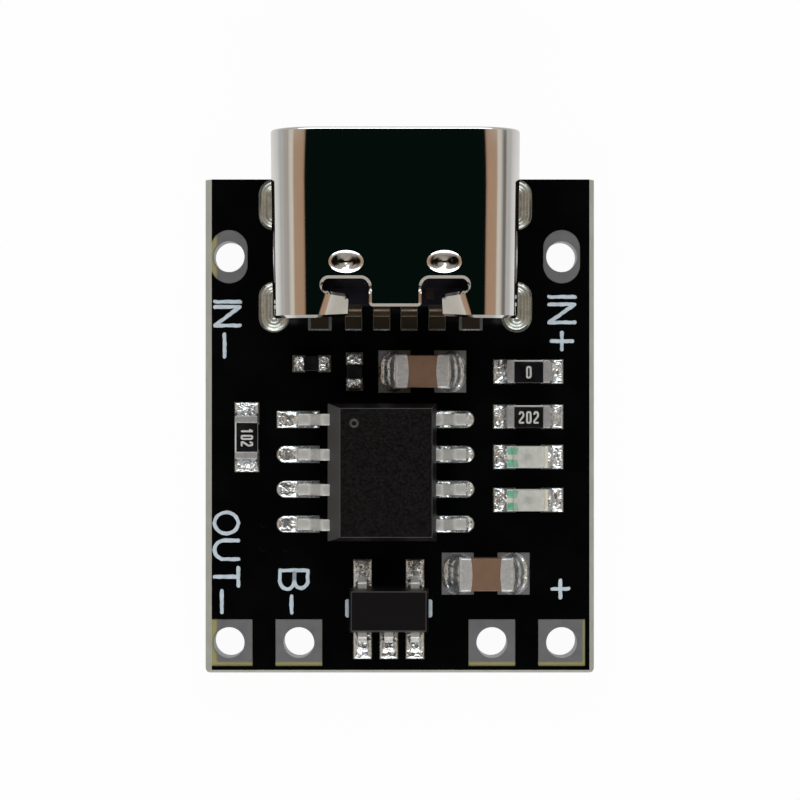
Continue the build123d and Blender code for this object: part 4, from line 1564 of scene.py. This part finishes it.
@dataclass
class SolderWork:
    """Fillets of bright solder, hollow where they climb and wrinkled as they set.

    Attributes:
        name: Name of the piece.
        stands_for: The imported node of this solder.
        fillets: Where the fillets lie.
        spacing: Size of a facet.
        wrinkle: Height of the wrinkles.
        folds: Wrinkles in a millimetre.
        ridges: Number of ridges that follow the outer edge.
        ridge_height: Height of those ridges.
        edge_r: Radius of the solder's rounded outer edge.
        hollow: How hollow the slope to the metal is.
        lift: Thickness of the solder before it climbs.
    """

    name: str
    stands_for: str
    fillets: list[Fillet]
    spacing: float = 0.027
    wrinkle: float = 0.05
    folds: float = 6.0
    ridges: float = 0.0
    ridge_height: float = 0.014
    edge_r: float = 0.1
    hollow: float = 2.4
    lift: float = 0.05

    def build(self) -> None:
        """Build every fillet and join them in one piece."""
        bm = bmesh.new()
        for fillet in self.fillets:
            absorb(bm, self.flow(fillet))
        finish_piece(self.name, bm, SOLDER, [self.stands_for], smooth_below=80, even_flats=False)

    def flow(self, fillet: Fillet) -> BMesh:
        """Let one fillet flow over its land.

        Args:
            fillet: Where it lies.

        Returns:
            A closed mesh.
        """
        land = fillet.land
        counts = [max(4, round(land.size[i] / self.spacing)) for i in (0, 1)]
        bm = bmesh.new()
        bmesh.ops.create_grid(bm, x_segments=counts[0], y_segments=counts[1], size=0.5)
        bmesh.ops.scale(bm, vec=(land.size.x, land.size.y, 1), verts=bm.verts)
        self.round_corners(bm, fillet)
        bmesh.ops.translate(bm, vec=(land.centre.x, land.centre.y, 0), verts=bm.verts)
        for vert in bm.verts:
            vert.co.z = BOARD_TOP + self.height_at(vert.co, fillet)
        skirt = draw_out(bm, open_edges(bm))
        for vert in skirt:
            vert.co.z = BOARD_TOP - 0.01
        lowest = set(skirt)
        ring = [e for e in open_edges(bm) if set(e.verts) <= lowest]
        bmesh.ops.contextual_create(bm, geom=ring)
        return bm

    def round_corners(self, bm: BMesh, fillet: Fillet) -> None:
        """Press the grid's square corners round.

        Args:
            bm: The grid, centred on the origin.
            fillet: The fillet that it is for.
        """
        half = Vector((fillet.land.size.x / 2, fillet.land.size.y / 2))
        radius = min(fillet.corner_r, half.x, half.y)
        core = half - Vector((radius, radius))
        for vert in bm.verts:
            over = Vector((abs(vert.co.x) - core.x, abs(vert.co.y) - core.y))
            if over.x > 0 and over.y > 0:
                reach = max(over.x, over.y)
                pulled = over.normalized() * reach
                vert.co.x = math.copysign(core.x + pulled.x, vert.co.x)
                vert.co.y = math.copysign(core.y + pulled.y, vert.co.y)

    def height_at(self, point: Vector, fillet: Fillet) -> float:
        """Height of the solder over one point of its land.

        Args:
            point: The point.
            fillet: The fillet there.

        Returns:
            Height above the board.
        """
        land, foot = fillet.land, fillet.foot
        off_x = max(foot.low.x - point.x, point.x - foot.high.x, 0.0)
        off_y = max(foot.low.y - point.y, point.y - foot.high.y, 0.0)
        away = math.hypot(off_x, off_y)
        inside = min(
            point.x - land.low.x, land.high.x - point.x, point.y - land.low.y, land.high.y - point.y
        )
        corner = self.corner_drop(point, fillet)
        inside = max(0.0, min(inside, corner))
        share = away / (away + inside) if away + inside > 0 else 1.0
        slope = fillet.climb * (1 - share) ** self.hollow
        edge = math.sqrt(min(1.0, inside / self.edge_r))
        seed = Vector((point.x, point.y, land.centre.x * 1.7 + land.centre.y)) * self.folds
        crumple = 0.7 - 2 * abs(noise.noise(seed)) - 0.8 * abs(noise.noise(seed * 2.3))
        ridge = math.sin(share * self.ridges * math.tau) * self.ridge_height
        return max(0.0, edge * (self.lift + slope + ridge + crumple * self.wrinkle))

    def corner_drop(self, point: Vector, fillet: Fillet) -> float:
        """Distance from a point to the fillet's rounded corner.

        Args:
            point: The point.
            fillet: The fillet.

        Returns:
            The distance inwards from the corner's arc, or a large one away from the corners.
        """
        land = fillet.land
        half = land.size / 2
        radius = min(fillet.corner_r, half.x, half.y)
        over_x = abs(point.x - land.centre.x) - (half.x - radius)
        over_y = abs(point.y - land.centre.y) - (half.y - radius)
        if over_x > 0 and over_y > 0:
            return radius - math.hypot(over_x, over_y)
        return max(half.x, half.y)


@dataclass
class LegSolder:
    """Solder round the socket's legs: ovals with set ridges, and plugs through the board.

    Attributes:
        height: How high it stands at the leg.
        ridges: Number of ridges between the leg and the oval's edge.
        rings: Rings of faces between them.
        segments: Faces round the oval.
        widest: Widest an oval gets.
        margin: Bare rim of the land round it.
        foot: Height of its edge.
        ripple: Height of the ridges.
        plug: Half the width and half the length of the plug through the board.
    """

    height: float = 0.3
    ridges: float = 2.0
    rings: int = 12
    segments: int = 56
    widest: float = 1.1
    margin: float = 0.03
    foot: float = 0.02
    ripple: float = 0.018
    plug: tuple[float, float] = (0.28, 0.6)

    def build(self) -> None:
        """Build the four ovals."""
        bm = bmesh.new()
        shell = node_span("socket_shell")
        for land in solid_spans("socket_leg_sleeves"):
            side = math.copysign(1, land.centre.x - shell.centre.x)
            absorb(bm, self.oval(land, side))
        packed = ["solder_socket_legs"]
        finish_piece("leg_fillets", bm, DULL_SOLDER, packed, smooth_below=80, even_flats=False)

    def oval(self, land: Span, side: float) -> BMesh:
        """One oval of solder, plugged through the board.

        Args:
            land: Box of the plated slot's lands.
            side: Which side of the socket it is on.

        Returns:
            A closed mesh.
        """
        bm = bmesh.new()
        radius = min(self.widest, land.size.x) / 2 - self.margin
        straight = max(0.0, land.size.y / 2 - radius - self.margin)
        ring = bmesh.ops.create_circle(bm, segments=self.segments, radius=radius)["verts"]
        outline = edges_of(ring)
        for vert in ring:
            vert.co.y += math.copysign(straight, vert.co.y) if abs(vert.co.y) > 0.001 else 0.0
        front = draw_out(bm, outline)
        for vert in front:
            vert.co.z = self.foot
        edges = edges_of(front)
        for step in range(1, self.rings):
            share = 1 - step / self.rings
            shrink = (share * self.rings) / (share * self.rings + 1)
            verts = draw_out(bm, edges)
            for vert in verts:
                angle = math.atan2(vert.co.y, vert.co.x)
                vert.co.x *= shrink
                over = abs(vert.co.y) - straight
                if over > 0:
                    vert.co.y = math.copysign(over * shrink + straight, vert.co.y)
                ripple = math.sin(share * self.ridges * math.tau) * self.ripple
                seed = Vector((vert.co.x * 2 + land.centre.x, vert.co.y * 2 + land.centre.y, angle))
                rise = self.height * (1 - share) ** 1.3
                vert.co.z = rise + ripple + noise.noise(seed) * 0.02 + 0.03
            edges = edges_of(verts)
        bmesh.ops.contextual_create(bm, geom=edges)
        bmesh.ops.contextual_create(bm, geom=open_edges(bm))
        inset = radius + self.margin
        middle_x = land.low.x + inset if side < 0 else land.high.x - inset
        bmesh.ops.translate(bm, vec=(middle_x, land.centre.y, BOARD_TOP), verts=bm.verts)
        board_edge = node_span("printed_board").high.y
        slice_off(bm, Vector((0, board_edge, 0)), Vector((0, 1, 0)))
        absorb(bm, self.plug_at(land))
        return bm

    def plug_at(self, land: Span) -> BMesh:
        """The plug of solder in one slot.

        Args:
            land: Box of the plated slot's lands.

        Returns:
            A closed mesh.
        """
        bm = bmesh.new()
        half_x, half_y = self.plug
        height = BOARD_TOP + self.foot
        sides = 32
        ends = bmesh.ops.create_cone(
            bm,
            cap_ends=True,
            segments=sides,
            radius1=half_x,
            radius2=half_x,
            depth=height,
            matrix=Matrix.Rotation(math.pi / sides, 4, "Z"),
        )["verts"]
        for vert in ends:
            vert.co.y += math.copysign(half_y - half_x, vert.co.y)
        roll_edges(bm, [e for e in bm.edges if e.calc_face_angle(0) > 1.5], 0.02, segments=2)
        middle = Vector((land.centre.x, land.centre.y, height / 2))
        bmesh.ops.translate(bm, vec=middle, verts=bm.verts)
        return bm


# Print


@dataclass(frozen=True)
class Sign:
    """One printed sign.

    Attributes:
        mark: What it is.
        start: Where it starts along the line.
        width: Its width, between the middles of its strokes.
        foot: Where it stands, as a share of a full sign's height.
        rise: How high it is, as such a share.
    """

    mark: str
    start: float
    width: float
    foot: float = 0.0
    rise: float = 1.0


def bow(
    centre: tuple[float, float],
    half: tuple[float, float],
    start: float,
    end: float,
    steps: int = 12,
) -> list[tuple[float, float]]:
    """Points of an elliptical arc.

    Args:
        centre: Its centre.
        half: Its half-width and half-height.
        start: First angle in degrees.
        end: Last angle in degrees.
        steps: Number of steps.

    Returns:
        The points in order.
    """
    turns = [math.radians(start + (end - start) * i / steps) for i in range(steps + 1)]
    return [(centre[0] + half[0] * math.cos(t), centre[1] + half[1] * math.sin(t)) for t in turns]


def sign_strokes(mark: str) -> list[list[tuple[float, float]]]:
    """Strokes of one sign in a unit square, its foot at zero.

    Args:
        mark: The sign.

    Returns:
        A list of strokes, each a list of points.
    """
    upper_lobe = bow((0.55, 0.76), (0.4, 0.24), 90, -90)
    lower_lobe = bow((0.55, 0.26), (0.45, 0.26), 90, -90)
    nought = [(0.2, 0), (0.8, 0), (1, 0.1), (1, 0.9), (0.8, 1), (0.2, 1), (0, 0.9), (0, 0.1)]
    strokes = {
        "I": [[(0, 0), (0, 1)]],
        "N": [[(0, 0), (0, 1), (1, 0), (1, 1)]],
        "O": [bow((0.5, 0.5), (0.5, 0.5), 0, 360, 20)],
        "0": [[(0, 0.1)] + nought],
        "U": [[(0, 1)] + bow((0.5, 0.4), (0.5, 0.4), 180, 360) + [(1, 1)]],
        "T": [[(0, 1), (1, 1)], [(0.5, 1), (0.5, 0)]],
        "B": [[(0, 0), (0, 1)] + upper_lobe + [(0, 0.52)], [(0, 0.52)] + lower_lobe + [(0, 0)]],
        "-": [[(0, 0.5), (1, 0.5)]],
        "+": [[(0, 0.5), (1, 0.5)], [(0.5, 0), (0.5, 1)]],
        "1": [[(0.2, 0.8), (0.6, 1), (0.6, 0)]],
        "2": [[(0, 0.84), (0.2, 1), (0.8, 1), (1, 0.84), (1, 0.62), (0, 0.16), (0, 0), (1, 0)]],
    }
    return strokes[mark]


@dataclass
class Pen:
    """Draws signs as raised rounded strokes of ink.

    Attributes:
        stroke: Width of a stroke.
        relief: Height of the ink.
        rough: How far its edge strays.
    """

    stroke: float = 0.135
    relief: float = 0.018
    rough: float = 0.022

    def write(self, signs: Sequence[Sign], height: float) -> BMesh:
        """Write a row of signs along X, standing on Y = 0.

        Args:
            signs: The signs.
            height: Height of a full sign, between the middles of its strokes.

        Returns:
            Their mesh, which lies on Z = 0.
        """
        bm = bmesh.new()
        for sign in signs:
            for stroke in sign_strokes(sign.mark):
                points = [
                    Vector(
                        (sign.start + x * sign.width, height * (sign.foot + y * sign.rise), 0)
                    )
                    for x, y in stroke
                ]
                self.draw(bm, points)
        for vert in bm.verts:
            stray = noise.noise_vector(Vector((vert.co.x, vert.co.y, 0)) * 6.0) * self.rough
            vert.co.x += stray.x
            vert.co.y += stray.y
        bmesh.ops.scale(bm, vec=(1, 1, self.relief / (self.stroke / 2)), verts=bm.verts)
        return bm

    def draw(self, bm: BMesh, points: Sequence[Vector]) -> None:
        """Draw one stroke as round rods with a round bead at each point.

        Args:
            bm: Mesh to add to.
            points: Points of the stroke.
        """
        radius = self.stroke / 2
        for point in points:
            bmesh.ops.create_uvsphere(
                bm, u_segments=12, v_segments=6, radius=radius, matrix=Matrix.Translation(point)
            )
        for a, b in zip(points, points[1:]):
            along = b - a
            if along.length < 0.0005:
                continue
            turn = Vector((0, 0, 1)).rotation_difference(along).to_matrix().to_4x4()
            rod = bmesh.ops.create_cone(
                bm,
                cap_ends=True,
                segments=12,
                radius1=radius,
                radius2=radius,
                depth=along.length,
                matrix=Matrix.Translation((a + b) / 2) @ turn,
            )["verts"]
            steps = int(along.length / self.stroke * 2)
            if steps > 1:
                half = along.length_squared / 2
                sides = [
                    e
                    for e in edges_of(rod)
                    if abs((e.verts[0].co - e.verts[1].co).dot(along)) > half
                ]
                bmesh.ops.subdivide_edges(bm, edges=sides, cuts=steps)


@dataclass(frozen=True)
class Label:
    """A label that reads downwards, the tops of its signs to the right.

    Attributes:
        name: Name of the piece.
        foot_x: Where its signs stand.
        start_y: Where it starts.
        height: Height of its signs, between the middles of their strokes.
        signs: Its signs.
    """

    name: str
    foot_x: float
    start_y: float
    height: float
    signs: tuple[Sign, ...]

    def build(self) -> None:
        """Print the label."""
        bm = Pen().write(self.signs, self.height)
        place = Vector((self.foot_x, self.start_y, BOARD_TOP))
        bmesh.ops.transform(bm, matrix=turned_at(place, -90), verts=bm.verts)
        finish_piece(self.name, bm, WHITE_PRINT, even_flats=False)


# Board


@dataclass
class PrintedBoard:
    """The board: its laminate, ink, plated holes, lands, labels and covered holes.

    Attributes:
        via_places: Places of the small holes that the ink covers.
        via_radius: Radius of the raised ring over such a hole.
        via_rise: Height of that ring.
    """

    via_places: tuple[tuple[float, float], ...] = ((-4.94, -3.55), (-4.98, -4.39), (-4.14, -4.43))
    via_radius: float = 0.17
    via_rise: float = 0.016

    def build(self) -> None:
        """Dress the board and print it."""
        dress_node("printed_board", LAMINATE)
        dress_node("solder_mask_top", BLACK_INK)
        dress_node("solder_mask_underside", BLACK_INK)
        dress_node("surface_lands", TINNED)
        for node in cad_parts:
            if node.startswith("plated_hole"):
                dress_node(node, TINNED)
        for label in self.labels():
            label.build()
        self.build_pin_marks()
        self.build_vias()

    def labels(self) -> list[Label]:
        """The labels beside the wire holes."""
        return [
            Label(
                "label_in_minus", -6.738, 4.543, 0.92,
                (Sign("I", 0, 0), Sign("N", 0.186, 0.678), Sign("-", 1.173, 0.827, -0.113)),
            ),
            Label(
                "label_in_plus", 5.43, 4.72, 0.95,
                (Sign("I", 0, 0), Sign("N", 0.27, 0.66), Sign("+", 1.3, 0.62, 0.1, 0.8)),
            ),
            Label(
                "label_out_minus", -6.75, -3.13, 0.87,
                (
                    Sign("O", 0, 0.77),
                    Sign("U", 1.02, 0.68),
                    Sign("T", 2.02, 0.65),
                    Sign("-", 2.85, 0.79, -0.19),
                ),
            ),
            Label(
                "label_battery_minus", -4.37, -5.24, 1.02,
                (Sign("B", 0, 0.68), Sign("-", 0.94, 0.59, -0.08)),
            ),
            Label("label_plus", 5.55, -5.6, 0.6, (Sign("+", 0, 0.63),)),
        ]

    def build_pin_marks(self) -> None:
        """Print the short marks at the protection chip's two ends."""
        body = node_span("protection_chip_body")
        bm = bmesh.new()
        for side in (-1, 1):
            edge = body.centre.x + side * (body.size.x / 2 + 0.05)
            points = [Vector((edge, body.centre.y + y, BOARD_TOP)) for y in (0.28, -0.22)]
            marks = bmesh.new()
            Pen(stroke=0.17).draw(marks, points)
            for vert in marks.verts:
                vert.co.z = BOARD_TOP + (vert.co.z - BOARD_TOP) * 0.2
            absorb(bm, marks)
        finish_piece("protection_chip_marks", bm, WHITE_PRINT, even_flats=False)

    def build_vias(self) -> None:
        """Raise the ink a little over the small covered holes."""
        bm = bmesh.new()
        for x, y in self.via_places:
            bump = bmesh.new()
            bmesh.ops.create_uvsphere(bump, u_segments=24, v_segments=12, radius=self.via_radius)
            for vert in bump.verts:
                from_axis = vert.co.to_2d().length / self.via_radius
                ring = math.sin(min(1.0, from_axis) * math.pi) ** 2
                rise = math.copysign(self.via_rise * ring + 0.001, vert.co.z)
                vert.co.z = rise if from_axis < 0.999 else 0
            bmesh.ops.translate(bump, vec=(x, y, BOARD_TOP), verts=bump.verts)
            absorb(bm, bump)
        finish_piece("covered_vias", bm, BLACK_INK, even_flats=False)


# Studio


@dataclass
class Studio:
    """Camera, floor, room light and lamps.

    Attributes:
        eye: The camera's place in millimetres.
        frame_width: Width of the view at the board's face.
        eye_height: Height of the camera above the board's face.
        sensor: Width of the camera's sensor.
        floor_glow: Share of the floor that shows white whatever falls on it.
        glow_reach: Where its glow in mirrors starts and ends to fade, from the middle.
        glow_levels: Its strength in mirrors there.
        lamp_colour: Colour of the lamps.
        to_right: Part of a direction along X where the room turns from its left to its right.
        to_ends: Part along Y where it turns from its sides to its ends.
        overhead: The room's colour by degrees from straight up, down to near the horizon.
        left_horizon: The same round the horizon at the left.
        right_horizon: The same at the right, where a dark card stands.
        lengthwise: The room's colour before and behind the board, by the same degrees.
    """

    eye: tuple[float, float] = (0.009, 0.965)
    frame_width: float = 29.14
    eye_height: float = 100.0
    sensor: float = 36.0
    floor_glow: float = 0.96
    glow_reach: tuple[float, float] = (9.0, 22.0)
    glow_levels: tuple[float, float] = (0.84, 0.47)
    lamp_colour: Colour = (0.93, 1.0, 1.06)
    to_right: tuple[float, float] = (0.3, 0.6)
    to_ends: tuple[float, float] = (0.2, 0.42)
    overhead: tuple[tuple[float, Colour], ...] = (
        (0.0, (0.0012, 0.005, 0.0035)),
        (26.0, (0.0015, 0.005, 0.004)),
        (29.0, (0.30, 0.19, 0.125)),
        (33.0, (0.42, 0.27, 0.18)),
        (56.0, (0.42, 0.29, 0.20)),
        (61.0, (0.66, 0.62, 0.56)),
        (69.0, (0.62, 0.59, 0.54)),
    )
    left_horizon: tuple[tuple[float, Colour], ...] = (
        (75.0, (0.40, 0.37, 0.34)),
        (96.0, (0.46, 0.43, 0.40)),
        (112.0, (0.80, 0.78, 0.74)),
    )
    right_horizon: tuple[tuple[float, Colour], ...] = (
        (74.0, (0.42, 0.40, 0.36)),
        (79.0, (0.18, 0.17, 0.16)),
        (86.0, (0.20, 0.19, 0.18)),
        (89.0, (0.46, 0.43, 0.39)),
        (97.0, (0.52, 0.48, 0.44)),
        (112.0, (0.84, 0.82, 0.78)),
    )
    lengthwise: tuple[tuple[float, Colour], ...] = (
        (0.0, (0.0012, 0.005, 0.0035)),
        (26.0, (0.0015, 0.005, 0.004)),
        (31.0, (0.34, 0.31, 0.28)),
        (45.0, (0.50, 0.48, 0.45)),
        (60.0, (0.64, 0.62, 0.58)),
        (75.0, (0.50, 0.48, 0.45)),
        (96.0, (0.46, 0.43, 0.40)),
        (112.0, (0.80, 0.78, 0.74)),
    )

    def build(self) -> None:
        """Set up the camera, the floor, the room and the lamps."""
        self.build_camera()
        self.build_floor()
        self.build_room()
        self.build_lamps()
        scene = bpy.context.scene
        scene.view_settings.view_transform = "Standard"

    def build_camera(self) -> None:
        """Look straight down at the board."""
        data = bpy.data.cameras.new("overhead")
        data.sensor_width = self.sensor
        data.lens = self.sensor * self.eye_height / self.frame_width
        data.clip_start = 0.005
        data.clip_end = 10.0
        camera = bpy.data.objects.new("overhead", data)
        camera.location = (
            self.eye[0] * MM,
            self.eye[1] * MM,
            (BOARD_TOP + self.eye_height) * MM,
        )
        bpy.context.scene.collection.objects.link(camera)
        bpy.context.scene.camera = camera

    def build_floor(self) -> None:
        """Lay a white floor that glows only for the eye, mirrors and glass."""
        bm = bmesh.new()
        bmesh.ops.create_circle(bm, cap_ends=True, segments=96, radius=600)
        bmesh.ops.scale(bm, vec=(MM, MM, MM), verts=bm.verts)
        mesh = bpy.data.meshes.new("floor")
        bm.to_mesh(mesh)
        bm.free()
        floor = bpy.data.objects.new("floor", mesh)
        bpy.context.scene.collection.objects.link(floor)
        floor.location.z = -0.00002
        material = bpy.data.materials.new("white_floor")
        material.use_nodes = True
        tree = material.node_tree
        surface = tree.nodes["Principled BSDF"]
        surface.inputs["Base Color"].default_value = (0.86, 0.86, 0.86, 1)
        surface.inputs["Roughness"].default_value = 0.9
        glow = add_node(tree, "Emission", {"Strength": self.floor_strength(tree)}).outputs[0]
        feeds = {"Fac": self.seen_rays(tree), 1: surface.outputs["BSDF"], 2: glow}
        shown = add_node(tree, "MixShader", feeds).outputs["Shader"]
        tree.links.new(shown, tree.nodes["Material Output"].inputs["Surface"])
        mesh.materials.append(material)

    def floor_strength(self, tree: bpy.types.NodeTree) -> bpy.types.NodeSocket:
        """The floor's glow: white to the eye, and in mirrors fading with distance from the board.

        Args:
            tree: Tree to add to.

        Returns:
            The output that carries it.
        """
        place = add_node(tree, "TexCoord", {}).outputs["Object"]
        distance = add_node(tree, "VectorMath", {0: place}, operation="LENGTH").outputs["Value"]
        feeds = {"Value": distance}
        feeds |= {"From Min": self.glow_reach[0] * MM, "From Max": self.glow_reach[1] * MM}
        feeds |= {"To Min": self.glow_levels[0], "To Max": self.glow_levels[1]}
        fade = add_node(tree, "MapRange", feeds).outputs["Result"]
        seen = add_node(tree, "LightPath", {}).outputs["Is Camera Ray"]
        return add_math(tree, "MAXIMUM", seen, fade)

    def seen_rays(self, tree: bpy.types.NodeTree) -> bpy.types.NodeSocket:
        """The floor's share of glow for the rays of the eye, mirrors and glass, and zero otherwise.

        Args:
            tree: Tree to add to.

        Returns:
            The output that carries it.
        """
        rays = add_node(tree, "LightPath", {}).outputs
        total = rays["Is Camera Ray"]
        for name in ("Is Glossy Ray", "Is Transmission Ray"):
            total = add_math(tree, "MAXIMUM", total, rays[name])
        return add_math(tree, "MULTIPLY", total, self.floor_glow)

    def build_room(self) -> None:
        """Build the room: dark overhead by the camera, warm above the sides, pale low down."""
        world = bpy.data.worlds.new("room")
        bpy.context.scene.world = world
        world.use_nodes = True
        tree = world.node_tree
        tree.nodes.clear()
        way = add_node(tree, "TexCoord", {}).outputs["Generated"]
        axes = add_node(tree, "SeparateXYZ", {"Vector": way}).outputs
        share = add_math(tree, "DIVIDE", add_math(tree, "ARCCOSINE", axes["Z"]), math.pi)
        left, right, lengthwise = (
            add_ramp(tree, [(degrees / 180, colour) for degrees, colour in stops], share)
            for stops in (
                self.overhead + self.left_horizon,
                self.overhead + self.right_horizon,
                self.lengthwise,
            )
        )
        along_y = add_math(tree, "ABSOLUTE", axes["Y"])
        sides = add_blend(tree, self.turned(tree, axes["X"], self.to_right), left, right)
        whole = add_blend(tree, self.turned(tree, along_y, self.to_ends), sides, lengthwise)
        room = add_node(tree, "Background", {"Color": whole}).outputs[0]
        white = add_node(tree, "Background", {"Color": (1, 1, 1, 1)}).outputs[0]
        seen = add_node(tree, "LightPath", {}).outputs["Is Camera Ray"]
        shown = add_node(tree, "MixShader", {"Fac": seen, 1: room, 2: white}).outputs["Shader"]
        add_node(tree, "OutputWorld", {"Surface": shown})

    def turned(
        self, tree: bpy.types.NodeTree, value: bpy.types.NodeSocket, reach: tuple[float, float]
    ) -> bpy.types.NodeSocket:
        """How far a direction has turned from the start to the end of a reach, from 0 to 1."""
        feeds = {"Value": value, "From Min": reach[0], "From Max": reach[1]}
        return add_node(tree, "MapRange", feeds).outputs["Result"]

    def build_lamps(self) -> None:
        """Hang two soft boxes, before and behind the board."""
        self.hang_lamp("front_box", (0, -190, 150), (320, 110), 0.3)
        self.hang_lamp("rear_box", (0, 190, 150), (320, 110), 0.3)

    def hang_lamp(
        self,
        name: str,
        place: tuple[float, float, float],
        size: tuple[float, float],
        watts: float,
    ) -> None:
        """Hang one soft box that faces the board.

        Args:
            name: Its name.
            place: Its place.
            size: Its width and height.
            watts: Its power.
        """
        data = bpy.data.lights.new(name, "AREA")
        data.shape = "RECTANGLE"
        data.size = size[0] * MM
        data.size_y = size[1] * MM
        data.energy = watts
        data.color = self.lamp_colour
        lamp = bpy.data.objects.new(name, data)
        spot = Vector(place) * MM
        lamp.location = spot
        lamp.rotation_euler = (-spot).to_track_quat("-Z", "Y").to_euler()
        bpy.context.scene.collection.objects.link(lamp)


# The module


def end_fillets(
    node: str, parts: Sequence[str], climb_share: float, corner_r: float
) -> list[Fillet]:
    """Fillets at the ends of two-ended parts.

    Args:
        node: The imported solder.
        parts: First parts of the names of the nodes of the parts that it holds.
        climb_share: How much of an end's height the solder climbs.
        corner_r: Radius of the solder's corners, seen from above.

    Returns:
        One fillet for each solid of the solder.
    """
    feet = [span for name in parts for span in solid_spans(f"{name}_ends")]
    fillets = []
    for wedge in solid_spans(node):
        land = land_under(wedge.centre.x, wedge.centre.y)
        foot = min(feet, key=lambda f: (f.centre - wedge.centre).length)
        fillets.append(Fillet(land, foot, foot.size.z * climb_share, corner_r))
    return fillets


def blob(fillet: Fillet) -> Fillet:
    """The same solder drawn over the whole end of a small part."""
    land, foot = fillet.land, fillet.foot
    low = Vector((min(land.low.x, foot.low.x), min(land.low.y, foot.low.y), land.low.z))
    high = Vector((max(land.high.x, foot.high.x), max(land.high.y, foot.high.y), land.high.z))
    return Fillet(Span(low, high), foot, fillet.climb, fillet.corner_r)


def lead_fillets(
    chip: str, foot_length: float, climb: float, corner_r: float, first_square: bool = False
) -> list[Fillet]:
    """Fillets round the feet of a chip's leads.

    Args:
        chip: First part of the names of the chip's nodes.
        foot_length: Length of a lead's flat foot.
        climb: How high the solder climbs.
        corner_r: Radius of the solder's corners, seen from above.
        first_square: Whether the first lead's land is square.

    Returns:
        One fillet for each lead.
    """
    body = node_span(f"{chip}_body")
    leads = solid_spans(f"{chip}_leads")
    first = min(leads, key=lambda s: (round(s.centre.x), -s.centre.y))
    fillets = []
    for lead in leads:
        axis = 0 if lead.size.x > lead.size.y else 1
        outwards = math.copysign(1, lead.centre[axis] - body.centre[axis])
        low, high = lead.low.copy(), lead.high.copy()
        if outwards > 0:
            low[axis] = high[axis] - foot_length
        else:
            high[axis] = low[axis] + foot_length
        foot = Span(low, high)
        radius = 0.06 if first_square and lead is first else corner_r
        fillets.append(Fillet(land_under(foot.centre.x, foot.centre.y), foot, climb, radius))
    return fillets


def solder_works() -> list[SolderWork]:
    """The bright solder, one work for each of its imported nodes."""
    resistors = ("link_resistor", "current_resistor", "side_resistor")
    small = ("small_resistor_one", "small_resistor_two")
    lamps = ("charging_lamp", "charged_lamp")
    capacitors = ("input_capacitor", "output_capacitor")
    small_ends = end_fillets("solder_small_resistors", small, 1.03, 0.14)
    return [
        SolderWork(
            "resistor_fillets",
            "solder_resistors",
            end_fillets("solder_resistors", resistors, 0.7, 0.06),
        ),
        SolderWork(
            "lamp_fillets", "solder_lamps", end_fillets("solder_lamps", lamps, 0.72, 0.06)
        ),
        SolderWork(
            "small_fillets",
            "solder_small_resistors",
            [blob(fillet) for fillet in small_ends],
            wrinkle=0.075,
            folds=7.5,
            lift=0.07,
            edge_r=0.03,
            hollow=0.35,
        ),
        SolderWork(
            "capacitor_fillets",
            "solder_capacitors",
            end_fillets("solder_capacitors", capacitors, 0.8, 0.62),
            wrinkle=0.03,
            folds=3.5,
            ridges=2.6,
            ridge_height=0.024,
            hollow=1.5,
        ),
        SolderWork(
            "charger_chip_fillets",
            "solder_charger_chip",
            lead_fillets("charger_chip", 0.48, 0.13, 0.34, first_square=True),
            wrinkle=0.03,
        ),
        SolderWork(
            "protection_chip_fillets",
            "solder_protection_chip",
            lead_fillets("protection_chip", 0.3, 0.1, 0.08),
            wrinkle=0.03,
            folds=7.0,
        ),
    ]


def main() -> None:
    """Build the model's pieces and the studio round them."""
    logging.basicConfig(level=logging.INFO, format="%(message)s")
    noise.seed_set(NOISE_SEED)
    Studio().build()
    PrintedBoard().build()
    ChargingSocket().build()
    MouldedChip(
        "charger_chip",
        parting=0.72,
        draft=14,
        corner=0.1,
        sheet=0.2,
        foot=0.48,
        ledge=(0.3, 0.45),
        dimple=(0.17, -1.0, 1.78),
    ).build()
    MouldedChip(
        "protection_chip",
        parting=0.5,
        draft=9,
        corner=0.045,
        sheet=0.14,
        foot=0.3,
        finish=MOULDED_DARK,
    ).build()
    for name, number in (
        ("link_resistor", "0"),
        ("current_resistor", "202"),
        ("side_resistor", "102"),
        ("small_resistor_one", ""),
        ("small_resistor_two", ""),
    ):
        ChipResistor(name, number, 0.035 if number else 0.03).build()
    for name in ("charging_lamp", "charged_lamp"):
        IndicatorLamp(name).build()
    for name in ("input_capacitor", "output_capacitor"):
        ChipCapacitor(name).build()
    for work in solder_works():
        work.build()
    LegSolder().build()
    dress_node("solder_socket_contacts", SOLDER)


if __name__ == "__main__":
    main()
